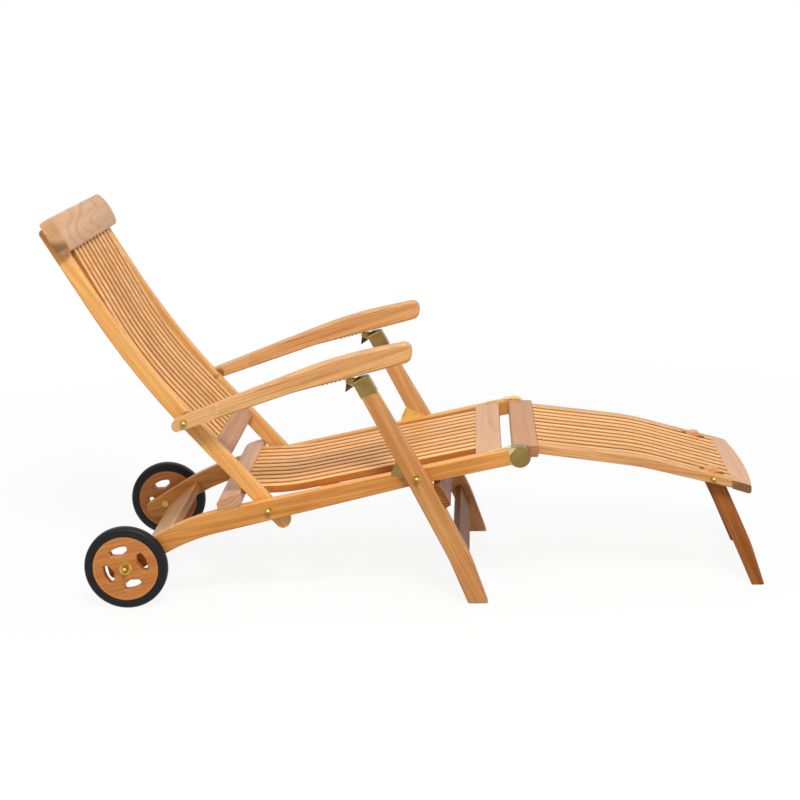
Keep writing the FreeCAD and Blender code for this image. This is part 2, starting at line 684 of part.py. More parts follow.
arm_points = [
    (arm_tail[0], arm_over(arm_tail[0]), 14.0),
    (arm_tail[0] + 3.0, arm_under(arm_tail[0] + 3.0), 14.0),
    (arm_knee_x, arm_under(arm_knee_x), 400.0),
    (arm_front_x, arm_flat(arm_front_x), ARM_NOSE_R),
    (arm_front_x, arm_over(arm_top_x) + ARM_TOP_RISE_FRONT * (arm_front_x - arm_top_x), ARM_NOSE_R),
    (arm_top_x, arm_over(arm_top_x), 2000.0),
]
arm = soften(slab(arm_points, arm_in, ARM_OUT), SOFT + 1.0)
set_back = Part.makeBox(300, 20, 300, V(ARM_PIVOT[0] - 225.0, ARM_OUT - ARM_SET_BACK, ARM_PIVOT[1] - 150.0))
arm = arm.cut(set_back)
arm = arm.cut(rod(ARM_PIVOT, arm_in - 1, ARM_OUT + 1, PIN_R + RUN))
both("arm", arm)
arm_bolt = bolt(ARM_PIVOT, sunk_y, ARM_OUT - ARM_SET_BACK + AIR, PIN_R, NUT_R, SUNK_HEAD_R)
both("arm_bolt", arm_bolt)
spacer = rod(ARM_PIVOT, stile_out + AIR, arm_in - AIR, 2.8 * PIN_R)
both("arm_spacer", spacer.cut(rod(ARM_PIVOT, stile_in, ARM_OUT, PIN_R)))

# The latch turns under the arm, its drum just clear of the rack. The leg's top follows it
latch_x = ARM_PIVOT[0] + LATCH_AHEAD
LATCH_PIVOT = (latch_x, arm_flat(latch_x) - RACK_T - LATCH_R - LATCH_AIR)
LEG_TOP = (LATCH_PIVOT[0] + 30.1, LATCH_PIVOT[1] - 0.5)

# Toothed brass rack under each arm
rack_front = LATCH_PIVOT[0] + RACK_FRONT
rack_rear = LATCH_PIVOT[0] - RACK_REAR
tooth_face = LATCH_PIVOT[0] - LATCH_R - 0.5
rack_points = [(rack_front, arm_flat(rack_front), 0), (rack_front, arm_flat(rack_front) - RACK_T, 0.5)]
for k in range(TOOTH_COUNT):
    face_x = tooth_face - k * TOOTH_PITCH
    back_x = face_x - 0.55 * TOOTH_PITCH
    rack_points.append((face_x, arm_flat(face_x) - RACK_T, 0))
    rack_points.append((face_x - 0.5, arm_flat(face_x) - RACK_T - TOOTH_H, 0.4))
    rack_points.append((back_x, arm_flat(back_x) - RACK_T, 0))
rack_points.append((rack_rear, arm_flat(rack_rear) - RACK_T, 0.5))
rack_points.append((rack_rear, arm_flat(rack_rear), 0))
both("arm_rack", slab(rack_points, leg_mid - 0.5 * RACK_W, leg_mid + 0.5 * RACK_W))

# Front legs, leaning back through their pivots to the latch, flared to the floor
leg_pivot_rear = LEG_PIVOT[0] - LEG_BEHIND_PIVOT
leg_top_rear = LEG_TOP[0] - LEG_BEHIND_TOP
leg_lean = (leg_pivot_rear - leg_top_rear) / (LEG_TOP[1] - LEG_PIVOT[1])


def leg_rear(z):
    """The legs' straight rear edge at a height."""
    return leg_pivot_rear + leg_lean * (LEG_PIVOT[1] - z)


leg_front_top = (leg_rear(LEG_TOP[1]) + LEG_TOP_W, LEG_TOP[1] + 8.5)
leg_rear_top = (leg_rear(LEG_TOP[1] - 8.5), LEG_TOP[1] - 8.5)
leg_points = [
    leg_rear_top + (3.0,),
    (leg_rear(LEG_BEND_Z), LEG_BEND_Z, 500.0),
    (LEG_FOOT_X, 0.0, 6.0),
    (LEG_FOOT_X + LEG_FOOT_L, 0.0, 3.0),
    (leg_rear(LEG_BEND_Z) + LEG_LOW_W, LEG_BEND_Z + 10.0, 400.0),
    (leg_rear(LEG_KNEE_Z) + LEG_KNEE_W, LEG_KNEE_Z, 900.0),
    leg_front_top + (3.0,),
]
leg = soften(slab(leg_points, leg_in, LEG_OUT), SOFT)
leg_cap_points = [
    (LEG_TOP[0] - 1.9, LEG_TOP[1] - 41.0, 0),
    (LEG_TOP[0] + 36.8, LEG_TOP[1] - 25.0, 0),
    (LEG_TOP[0] + 15.6, LEG_TOP[1] + 13.6, 4.0),
    (LEG_TOP[0] - 10.5, LEG_TOP[1] + 10.4, 16.0),
    (LEG_TOP[0] - 20.3, LEG_TOP[1] + 2.5, 6.0),
    (LEG_TOP[0] - 17.6, LEG_TOP[1] - 9.0, 4.0),
]
cap_half = 0.5 * TIMBER_T + CAP_WALL
leg_cap = soften(slab(leg_cap_points, leg_mid - cap_half, leg_mid + cap_half), CAP_WALL - 0.1)
# the top is rounded over from both sides above a shoulder line
loaf_points = [
    (-cap_half, -2.0 * STRAP_LOW, 0),
    (cap_half, -2.0 * STRAP_LOW, 0),
    (cap_half, CAP_ROUND, CAP_ROUND),
    (-cap_half, CAP_ROUND, CAP_ROUND),
]
loaf = slab(loaf_points, -STRAP_LOW, STRAP_LOW)
shoulder_at = going(LEG_TOP, CAP_SHOULDER_DEG + 180.0, CAP_SHOULDER_BACK)
run_x, run_z = going((0.0, 0.0), CAP_SHOULDER_DEG + 180.0, 1.0)
turn = FreeCAD.Rotation(V(0, 1, 0), V(run_x, 0, run_z), V(run_z, 0, -run_x), "XYZ")
loaf_seat = FreeCAD.Placement(V(shoulder_at[0], leg_mid, shoulder_at[1]), turn)
loaf.Placement = loaf_seat.multiply(loaf.Placement)
leg_cap = leg_cap.common(loaf)
# and a strap runs from it down the leg's front
front_lean = (leg_rear(LEG_KNEE_Z) + LEG_KNEE_W - leg_front_top[0]) / (leg_front_top[1] - LEG_KNEE_Z)
strap_up = LEG_TOP[1] - 20.0
strap_down = LEG_TOP[1] - STRAP_LOW
strap_up_x = leg_front_top[0] + front_lean * (leg_front_top[1] - strap_up)
strap_down_x = leg_front_top[0] + front_lean * (leg_front_top[1] - strap_down)
strap_points = [
    (strap_down_x - 3.0, strap_down, 0),
    (strap_down_x + 0.8 * SHEET, strap_down, 0.8),
    (strap_up_x + SHEET, strap_up, 0),
    (strap_up_x - 3.0, strap_up, 0),
]
strap = slab(strap_points, leg_mid - 0.5 * STRAP_W, leg_mid + 0.5 * STRAP_W)
leg_cap = leg_cap.fuse(strap).removeSplitter()
leg_blank = slab(leg_points, leg_in, LEG_OUT)
leg_cap = leg_cap.cut(leg)
ear_mid = LATCH_HALF_W + AIR + 0.5 * EAR_T
for side in (leg_mid - ear_mid, leg_mid + ear_mid):
    ear = rod(LATCH_PIVOT, side - 0.5 * EAR_T, side + 0.5 * EAR_T, EAR_R)
    root = slab([
        (LATCH_PIVOT[0] - 1.0, LATCH_PIVOT[1] + 6.0, 0),
        (LATCH_PIVOT[0] + 1.0, LATCH_PIVOT[1] - 6.0, 0),
        (LATCH_PIVOT[0] + 16.0, LATCH_PIVOT[1] - 10.0, 0),
        (LATCH_PIVOT[0] + 14.0, LATCH_PIVOT[1] + 7.0, 0),
    ], side - 0.5 * EAR_T, side + 0.5 * EAR_T)
    leg_cap = leg_cap.fuse(ear.fuse(root).cut(leg_blank))
leg_cap = leg_cap.removeSplitter()
leg_cap = leg_cap.cut(rod(LATCH_PIVOT, leg_in, LEG_OUT, LATCH_PIN_R))

leg = leg.cut(rod(LEG_PIVOT, leg_in - 1, LEG_OUT + 1, PIN_R + RUN))

# Stretchers between the front legs: one let into their fronts, one lower down
upper_x = LEG_PIVOT[0] + UPPER_AHEAD
upper_z = LEG_PIVOT[1] - UPPER_BELOW
upper_points = [
    (upper_x, upper_z, 2.0),
    (upper_x + 16.0, upper_z + 4.0, 3.0),
    (upper_x + 42.0, upper_z - 44.0, 3.0),
    (upper_x + 27.0, upper_z - 53.0, 2.0),
]
upper_half = LEG_OUT - UPPER_SET_IN
upper = slab(upper_points, -upper_half, upper_half)
leg = leg.cut(upper)
lower_top = (leg_rear(LOWER_TOP_Z) + LOWER_AHEAD, LOWER_TOP_Z)
lower_bottom = (leg_rear(LOWER_LOW_Z) + LOWER_AHEAD - 2.8, LOWER_LOW_Z)
lower_deg = math.degrees(math.atan2(lower_top[1] - lower_bottom[1], lower_top[0] - lower_bottom[0]))
lower_points = [
    lower_top + (3.0,),
    lower_bottom + (3.0,),
    behind(lower_bottom, lower_deg, LOWER_T) + (3.0,),
    behind(lower_top, lower_deg, LOWER_T) + (3.0,),
]
nodes["leg_stretcher_upper"] = upper
nodes["leg_stretcher_lower"] = slab(lower_points, -leg_in, leg_in)
both("front_leg", leg)
both("leg_cap", leg_cap)

# Latch: a round nose that stands ahead of a rack tooth, with a thumb tail
latch_nose = rod(LATCH_PIVOT, leg_mid - LATCH_HALF_W, leg_mid + LATCH_HALF_W, LATCH_R)
latch_tail = slab([
    (LATCH_PIVOT[0] - 6.0, LATCH_PIVOT[1] - 3.0, 0),
    (LATCH_PIVOT[0] - 9.0, LATCH_PIVOT[1] - 26.0, 1.2),
    (LATCH_PIVOT[0] + 11.5, LATCH_PIVOT[1] - 11.8, 1.0),
    (LATCH_PIVOT[0] + 6.5, LATCH_PIVOT[1] - 2.0, 0),
], leg_mid - LATCH_HALF_W, leg_mid + LATCH_HALF_W)
latch = latch_nose.fuse(latch_tail).removeSplitter()
both("arm_latch", latch.cut(rod(LATCH_PIVOT, leg_in, LEG_OUT, LATCH_PIN_R + RUN)))
pin_half = ear_mid + 0.5 * EAR_T
latch_pin = rod(LATCH_PIVOT, leg_mid - pin_half, leg_mid + pin_half, LATCH_PIN_R)
twins("latch_pins", latch_pin)

# Footrest: a first board on the knee pins, two rails, slats and a bowed end board
first_x = KNEE[0] - FIRST_BEHIND
first_end = first_x + FIRST_BOARD_L
first_top = KNEE[1] + FIRST_ABOVE


def foot_top(x):
    """Height of the top edge of the footrest's rails."""
    before_bend = min(x, FOOT_BEND_X) - first_end
    past_bend = max(x, FOOT_BEND_X) - FOOT_BEND_X
    return first_top - FOOT_STEP - FOOT_FALL * before_bend - FOOT_DROP * past_bend


first_points = [
    (first_x, first_top - BOARD_T - 2.0, 5.0),
    (first_end, first_top - BOARD_T - 2.0, 3.0),
    (first_end, first_top - 1.0, 5.0),
    (first_x, first_top, 7.0),
]
first_board = slab(first_points, -stile_out, stile_out)
knee_bore = rod(KNEE, rail_in - KNEE_PIN_L - 2.0, rail_in, KNEE_PIN_R + RUN)
first_board = first_board.cut([knee_bore, mirrored(knee_bore)])

foot_rail_points = [
    (first_end, foot_top(first_end), 0),
    (FOOT_BEND_X, foot_top(FOOT_BEND_X), 600.0),
    (FOOT_END_X, foot_top(FOOT_END_X), 0),
    (FOOT_END_X, foot_top(FOOT_END_X) - FOOT_RAIL_D + 2.0, 0),
    (FOOT_BEND_X - 5.0, foot_top(FOOT_BEND_X) - FOOT_RAIL_D - 3.0, 600.0),
    (first_end, foot_top(first_end) - FOOT_RAIL_D, 0),
]
foot_rail = soften(slab(foot_rail_points, foot_rail_in, FOOT_RAIL_OUT), SOFT - 1.0)
tenon = Part.makeBox(
    TONGUE + 1.0, FOOT_RAIL_T - 12.0, 10.0,
    V(first_end - TONGUE, foot_rail_in + 6.0, foot_top(first_end) - 0.5 * FOOT_RAIL_D - 5.0),
)
first_board = first_board.cut([tenon, mirrored(tenon)])
foot_rail = foot_rail.fuse(tenon).removeSplitter()
foot_rail = foot_rail.cut(rod(FOOT_PIVOT, foot_rail_in - 1, FOOT_RAIL_OUT + 1, PIN_R - 1.0))
both("footrest_rail", foot_rail)
nodes["footrest_first_board"] = first_board

end_top = (FOOT_END_X, foot_top(FOOT_END_X))
end_far = going(end_top, END_TILT, END_BOARD_L + 20.0)
end_far_low = going(end_far, END_TILT - 90.0, END_BOARD_T)
end_low = (FOOT_END_X, foot_top(FOOT_END_X) - END_BOARD_T)
end_block = slab([end_top + (1.0,), end_far + (0,), end_far_low + (0,), end_low + (0,)], -end_half, end_half)
bow_x = FOOT_END_X + END_BOARD_L - 4.0
bow_left = V(bow_x, end_half, 0)
bow_right = V(bow_x, -end_half, 0)
back_left = V(FOOT_END_X - 10.0, end_half, 0)
back_right = V(FOOT_END_X - 10.0, -end_half, 0)
bow = Part.Wire([
    Part.Arc(bow_right, V(bow_x + END_BOARD_BOW, 0, 0), bow_left).toShape(),
    Part.LineSegment(bow_left, back_left).toShape(),
    Part.LineSegment(back_left, back_right).toShape(),
    Part.LineSegment(back_right, bow_right).toShape(),
])
end_board = end_block.common(Part.Face(bow).extrude(V(0, 0, 500.0)))
front_edges = [e for e in end_board.Edges if e.BoundBox.XMin > bow_x - 8.0 and e.BoundBox.YLength > 300.0]
end_board = end_board.makeFillet(6.0, front_edges)
nodes["footrest_end_board"] = end_board

foot_slat_points = [
    (first_end, foot_top(first_end) + 1.0, 0),
    (FOOT_BEND_X, foot_top(FOOT_BEND_X) + 1.0, 600.0),
    (FOOT_END_X, foot_top(FOOT_END_X), 0),
    (FOOT_END_X, foot_top(FOOT_END_X) - SLAT_T, 0),
    (FOOT_BEND_X, foot_top(FOOT_BEND_X) + 1.0 - SLAT_T, 600.0),
    (first_end, foot_top(first_end) + 1.0 - SLAT_T, 0),
]
foot_row = slat_row(foot_slat_points, FOOT_SLAT_COUNT, foot_slat_pitch, FOOT_SLAT_W, SOFT_SLAT)
nodes["footrest_slats"] = Part.Compound(foot_row)
edge_slat = soften(slab(foot_slat_points, foot_rail_in - EDGE_SLAT_W, foot_rail_in), SOFT_SLAT)
notch = Part.makeBox(
    2.0 * NOTCH, EDGE_SLAT_W - 4.0, 80.0,
    V(FOOT_PIVOT[0] - NOTCH, foot_rail_in - EDGE_SLAT_W - 2.0, FOOT_PIVOT[1] - 40.0),
)
spacer_room = rod(FOOT_PIVOT, foot_leg_out, foot_rail_in + 1.0, PIN_R + 4.5)
both("footrest_edge_slat", edge_slat.cut(notch).cut(spacer_room))


def foot_batten_points(x):
    low = foot_top(x) + 1.0 - SLAT_T
    far = foot_top(x + BATTEN_W) + 1.0 - SLAT_T
    return [
        (x, low, 0),
        (x, low - FOOT_BATTEN_D, 2.0),
        (x + BATTEN_W, far - FOOT_BATTEN_D, 2.0),
        (x + BATTEN_W, far, 0),
    ]


foot_batten = slab(foot_batten_points(FOOT_BEND_X - FOOT_BATTEN_BACK), -foot_rail_in, foot_rail_in)
nodes["footrest_batten"] = foot_batten

# Folding legs of the footrest
foot_dir = FOOT_LEG_DEG
foot_end = going(FOOT_PIVOT, foot_dir, FOOT_LEG_REACH)


def foot_leg_side(sign):
    top = going(FOOT_PIVOT, foot_dir + 90.0 * sign, 0.5 * FOOT_LEG_W)
    low = going(foot_end, foot_dir + 90.0 * sign, 0.5 * FOOT_LEG_END_W)
    return top, low


def at_floor(top, low):
    share = top[1] / (top[1] - low[1])
    return (top[0] + share * (low[0] - top[0]), 0.0)


fore = foot_leg_side(1)
aft = foot_leg_side(-1)
fore_up = going(fore[0], foot_dir, -0.5 * FOOT_LEG_W)
aft_up = going(aft[0], foot_dir, -0.5 * FOOT_LEG_W)
leg_bend = going(FOOT_PIVOT, foot_dir, FOOT_LEG_TO_BEND)
fore_bend = (leg_bend[0] + 25.6, leg_bend[1])
aft_bend = (leg_bend[0] - 15.4, leg_bend[1])
foot_leg_points = [
    fore_up + (20.0,),
    aft_up + (20.0,),
    aft_bend + (500.0,),
    at_floor(*aft) + (3.0,),
    at_floor(*fore) + (3.0,),
    fore_bend + (500.0,),
]
foot_leg = soften(slab(foot_leg_points, foot_leg_in, foot_leg_out), SOFT - 1.0)
foot_leg = foot_leg.cut(rod(FOOT_PIVOT, foot_leg_in - 1, foot_leg_out + 1, PIN_R - 1.0 + RUN))
both("foot_leg", foot_leg)
rung_at = going(FOOT_PIVOT, foot_dir, RUNG_REACH)
rung_top = going(rung_at, foot_dir, -0.5 * RUNG_W)
rung_low = going(rung_at, foot_dir, 0.5 * RUNG_W)
rung_points = [
    going(rung_top, foot_dir + 90.0, 0.5 * RUNG_T) + (3.0,),
    going(rung_top, foot_dir - 90.0, 0.5 * RUNG_T) + (3.0,),
    going(rung_low, foot_dir - 90.0, 0.5 * RUNG_T) + (3.0,),
    going(rung_low, foot_dir + 90.0, 0.5 * RUNG_T) + (3.0,),
]
nodes["foot_leg_stretcher"] = slab(rung_points, -foot_leg_in, foot_leg_in)
foot_shank = rod(FOOT_PIVOT, foot_leg_in + 2.0, FOOT_RAIL_OUT + 2.0, PIN_R - 1.0)
foot_washer = rod(FOOT_PIVOT, foot_leg_out + AIR, foot_rail_in, PIN_R + 3.0)
foot_nut = acorn_nut(FOOT_PIVOT, FOOT_RAIL_OUT, NUT_R - 1.0)
twins("foot_leg_bolts", foot_shank.fuse([foot_washer, foot_nut]).removeSplitter())

# Centre the chair's length over the origin, then write every piece
whole = Part.Compound(list(nodes.values()))
middle = 0.5 * (whole.BoundBox.XMin + whole.BoundBox.XMax)
for name, shape in nodes.items():
    moved = shape.translated(V(-middle, 0, 0))
    if not moved.isValid() or not moved.Solids:
        print("not a valid solid:", name)
    moved.exportStep("parts/" + name + ".step")

joints = {
    "knee": KNEE, "back": BACK_PIVOT, "leg": LEG_PIVOT, "arm": ARM_PIVOT,
    "latch": LATCH_PIVOT, "foot": FOOT_PIVOT, "axle": AXLE,
}
for name, point in joints.items():
    print(name, "pivot", round((point[0] - middle) / 1000.0, 5), round(point[1] / 1000.0, 5))
print(len(nodes), "nodes, shifted by", round(-middle, 3))
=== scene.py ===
"""A folding steamer deck chair in teak with brass fittings, dressed and lit for its picture.

Lengths are in metres and angles in degrees. The chair's foot end points to +X, the sitter's
left is +Y and the floor is Z = 0, as in the frame that the script starts from.
"""

import json
import logging
import math
from collections.abc import Callable
from dataclasses import dataclass, field
from enum import Enum

import bmesh
import bpy
from mathutils import Matrix, Vector


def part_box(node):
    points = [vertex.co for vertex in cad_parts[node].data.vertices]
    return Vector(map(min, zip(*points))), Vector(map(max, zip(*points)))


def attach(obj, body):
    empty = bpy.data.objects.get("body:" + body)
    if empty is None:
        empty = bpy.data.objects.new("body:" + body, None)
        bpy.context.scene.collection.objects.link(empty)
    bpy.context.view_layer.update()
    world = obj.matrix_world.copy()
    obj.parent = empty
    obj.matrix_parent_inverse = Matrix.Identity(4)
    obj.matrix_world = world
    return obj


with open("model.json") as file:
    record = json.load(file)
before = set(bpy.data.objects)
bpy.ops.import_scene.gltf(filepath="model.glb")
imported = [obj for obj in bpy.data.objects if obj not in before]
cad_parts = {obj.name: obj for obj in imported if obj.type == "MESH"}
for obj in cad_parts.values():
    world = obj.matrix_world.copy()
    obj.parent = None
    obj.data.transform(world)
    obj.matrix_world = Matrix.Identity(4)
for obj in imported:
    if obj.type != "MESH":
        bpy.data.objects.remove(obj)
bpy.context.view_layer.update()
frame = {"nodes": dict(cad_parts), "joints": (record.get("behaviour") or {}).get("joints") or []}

LOG = logging.getLogger("deck_chair")

Colour = tuple[float, float, float]
Material = bpy.types.Material
Socket = bpy.types.NodeSocket


def srgb(red: int, green: int, blue: int) -> Colour:
    """Turn a colour as it is seen on screen into the linear values that shaders take.

    Args:
        red: Red from 0 to 255.
        green: Green from 0 to 255.
        blue: Blue from 0 to 255.

    Returns:
        The same colour in linear light.
    """
    shares = (value / 255.0 for value in (red, green, blue))
    return tuple(s / 12.92 if s <= 0.04045 else ((s + 0.055) / 1.055) ** 2.4 for s in shares)


def level(deg: float) -> Vector:
    """A direction in the side view, as an angle that rises from +X."""
    return Vector((math.cos(math.radians(deg)), 0.0, math.sin(math.radians(deg))))


ACROSS = Vector((0.0, 1.0, 0.0))
WHITE = (1.0, 1.0, 1.0)
GAP_SHADE = (0.60, 0.37, 0.16)     # what little light comes back from between two slats
GAP_DARK = 1.0                     # how far the sides of a slat take that shade
END_SHADE = srgb(112, 70, 28)          # painted shade on the lower part of some sawn ends
END_SHADE_FADE = 0.022
JOINTED_PALE = srgb(230, 186, 130)     # the block jointed on behind an arm leans to it
JOINTED_SHARE = 0.35
SEAM_W = 0.0008
RIM_HIGHLIGHT_SHARE = 0.75                   # of the pale colour painted on a disc's turned edge as a highlight
TIP_HIGHLIGHT = srgb(222, 164, 112)     # painted highlight on the ends of the footrest's legs above the slats
TIP_SHARE = 0.85
TIP_FADE = 0.003
FIGURE_ALONG = 7.0                 # within this length each slat of a row takes its own figure
FIGURE_UP = 0.03
SHARP_DEG = 35.0                   # edges sharper than this stay crisp on turned pieces
CAP_RISE = 0.00006                 # of a slotted cap over the nut's own dome
CAP_SPREAD_DEG = 42.0
CAP_WALL = 0.0008
SCREW_PROFILE = [(0.0, -0.0003), (0.0034, -0.0003), (0.0034, 0.0002), (0.0029, 0.0005), (0.0, 0.0006)]


class Nodes:
    """A tree of nodes under construction, with short calls for the steps that repeat."""

    def __init__(self, tree: bpy.types.NodeTree) -> None:
        """Take over a tree and empty it.

        Args:
            tree: The nodes of a material or of the world.
        """
        self.tree = tree
        self.tree.nodes.clear()

    def add(self, kind: str) -> bpy.types.Node:
        """Add a node of the kind named."""
        return self.tree.nodes.new(f"ShaderNode{kind}")

    def join(self, source: Socket, target: Socket) -> None:
        """Link one socket to another."""
        self.tree.links.new(source, target)

    def feed(self, target: Socket, value: object) -> None:
        """Give a socket a link if the value is a socket, else a plain value.

        Args:
            target: The input to fill.
            value: A socket, a number or a tuple.
        """
        if isinstance(value, Socket):
            self.join(value, target)
        elif isinstance(value, tuple) and target.type == "RGBA":
            target.default_value = (*value, 1.0)[:4]
        else:
            target.default_value = value

    def math(self, kind: str, first: object, second: object = 0.0, third: object = 0.0) -> Socket:
        """Add one step of arithmetic.

        Args:
            kind: The operation, as the node names it.
            first: The first operand.
            second: The second operand.
            third: The third operand, for those that take one.

        Returns:
            The result.
        """
        step = self.add("Math")
        step.operation = kind
        for socket, value in zip(step.inputs, (first, second, third)):
            self.feed(socket, value)
        return step.outputs[0]

    def times(self, first: object, second: object) -> Socket:
        """Multiply two numbers."""
        return self.math("MULTIPLY", first, second)

    def vector(self, kind: str, first: object, second: object = (0.0, 0.0, 0.0)) -> Socket:
        """Add one step of vector arithmetic.

        Args:
            kind: The operation, as the node names it.
            first: The first operand.
            second: The second operand, for those that take one.

        Returns:
            The result.
        """
        step = self.add("VectorMath")
        step.operation = kind
        self.feed(step.inputs[0], first)
        self.feed(step.inputs[1], second)
        return step.outputs["Value" if kind in ("DOT_PRODUCT", "LENGTH") else "Vector"]

    def split(self, value: Socket) -> tuple[Socket, Socket, Socket]:
        """Take a vector apart.

        Args:
            value: The vector.

        Returns:
            Its three parts.
        """
        step = self.add("SeparateXYZ")
        self.join(value, step.inputs[0])
        return step.outputs[0], step.outputs[1], step.outputs[2]

    def merge(self, x: object, y: object, z: object) -> Socket:
        """Put three numbers together.

        Args:
            x: The first part.
            y: The second part.
            z: The third part.

        Returns:
            The vector.
        """
        step = self.add("CombineXYZ")
        for socket, value in zip(step.inputs, (x, y, z)):
            self.feed(socket, value)
        return step.outputs[0]

    def noise(self, place: Socket, scale: float, detail: float = 2.0, rough: float = 0.5) -> Socket:
        """Add a cloud of noise.

        Args:
            place: Where to read it.
            scale: Cells in a metre of the place's own measure.
            detail: How many finer layers it has.
            rough: How strong the finer layers are.

        Returns:
            The noise, about 0.5 on average.
        """
        step = self.add("TexNoise")
        self.feed(step.inputs["Vector"], place)
        step.inputs["Scale"].default_value = scale
        step.inputs["Detail"].default_value = detail
        step.inputs["Roughness"].default_value = rough
        return step.outputs["Fac"]

    def between(
        self, value: Socket, low: float, high: float, to_low: float = 0.0, to_high: float = 1.0
    ) -> Socket:
        """Map a range smoothly onto another and hold it at the ends.

        Args:
            value: The number to map.
            low: The value that gives to_low.
            high: The value that gives to_high.
            to_low: The result at low.
            to_high: The result at high.

        Returns:
            The mapped number.
        """
        step = self.add("MapRange")
        step.interpolation_type = "SMOOTHSTEP"
        for socket, number in zip(step.inputs, (value, low, high, to_low, to_high)):
            self.feed(socket, number)
        return step.outputs[0]

    def mix(self, share: object, first: object, second: object, kind: str = "MIX") -> Socket:
        """Mix two colours.

        Args:
            share: How much of the second, from 0 to 1.
            first: The first colour.
            second: The second colour.
            kind: How they mix.

        Returns:
            The mixed colour.
        """
        step = self.add("Mix")
        step.data_type = "RGBA"
        step.blend_type = kind
        self.feed(step.inputs[0], share)
        self.feed(step.inputs[6], first)
        self.feed(step.inputs[7], second)
        return step.outputs[2]

    def object_place(self) -> tuple[Socket, Socket]:
        """The place and the direction of the surface, both in the chair's own frame."""
        step = self.add("TexCoord")
        return step.outputs["Object"], step.outputs["Normal"]

    def rays(self) -> bpy.types.NodeOutputs:
        """Which kind of ray meets the surface, by the name of the kind."""
        return self.add("LightPath").outputs

    def shade(self, kind: str, **values: object) -> Socket:
        """Add a plain shader.

        Args:
            kind: The type of its node.
            **values: Its inputs, named with underscores for spaces.

        Returns:
            The shader.
        """
        step = self.add(kind)
        self.fill(step, **values)
        return step.outputs[0]

    def fill(self, step: bpy.types.Node, **values: object) -> None:
        """Fill a node's inputs, named with underscores for spaces."""
        for name, value in values.items():
            self.feed(step.inputs[name.replace("_", " ")], value)

    def blend(self, share: Socket, first: Socket, second: Socket) -> Socket:
        """Blend two shaders.

        Args:
            share: How much of the second, from 0 to 1.
            first: The first shader.
            second: The second shader.

        Returns:
            The blended shader.
        """
        step = self.add("MixShader")
        for socket, value in zip(step.inputs, (share, first, second)):
            self.join(value, socket)
        return step.outputs[0]

    def end(self, kind: str, shader: Socket) -> None:
        """End the tree in a shader, through an output of the kind named."""
        self.join(shader, self.add(kind).inputs["Surface"])


class Shader(Nodes):
    """A material under construction that ends in one principled surface."""

    def __init__(self, name: str) -> None:
        """Start an empty material.

        Args:
            name: The material's name.
        """
        self.material = bpy.data.materials.new(name)
        self.material.use_nodes = True
        super().__init__(self.material.node_tree)
        self.surface = self.add("BsdfPrincipled")
        self.end("OutputMaterial", self.surface.outputs["BSDF"])

    def arris(self, radius: float) -> Socket:
        """How near a point is to an edge of its piece.

        Args:
            radius: The width over which the edge is felt.

        Returns:
            0 on a flat face, rising toward 1 on an edge.
        """
        bevel = self.add("Bevel")
        bevel.samples = 4
        bevel.inputs["Radius"].default_value = radius
        flat = self.add("NewGeometry")
        agree = self.vector("DOT_PRODUCT", bevel.outputs[0], flat.outputs["Normal"])
        return self.between(agree, 1.0, 0.80)

    def bump(self, height: Socket, strength: float, depth: float) -> None:
        """Raise the surface by a height.

        Args:
            height: The height from 0 to 1.
            strength: How much of it shows.
            depth: The height of 1, in metres.
        """
        step = self.add("Bump")
        step.inputs["Strength"].default_value = strength
        step.inputs["Distance"].default_value = depth
        self.join(height, step.inputs["Height"])
        self.join(step.outputs["Normal"], self.surface.inputs["Normal"])

    def set(self, **values: object) -> None:
        """Fill the surface's inputs."""
        self.fill(self.surface, **values)


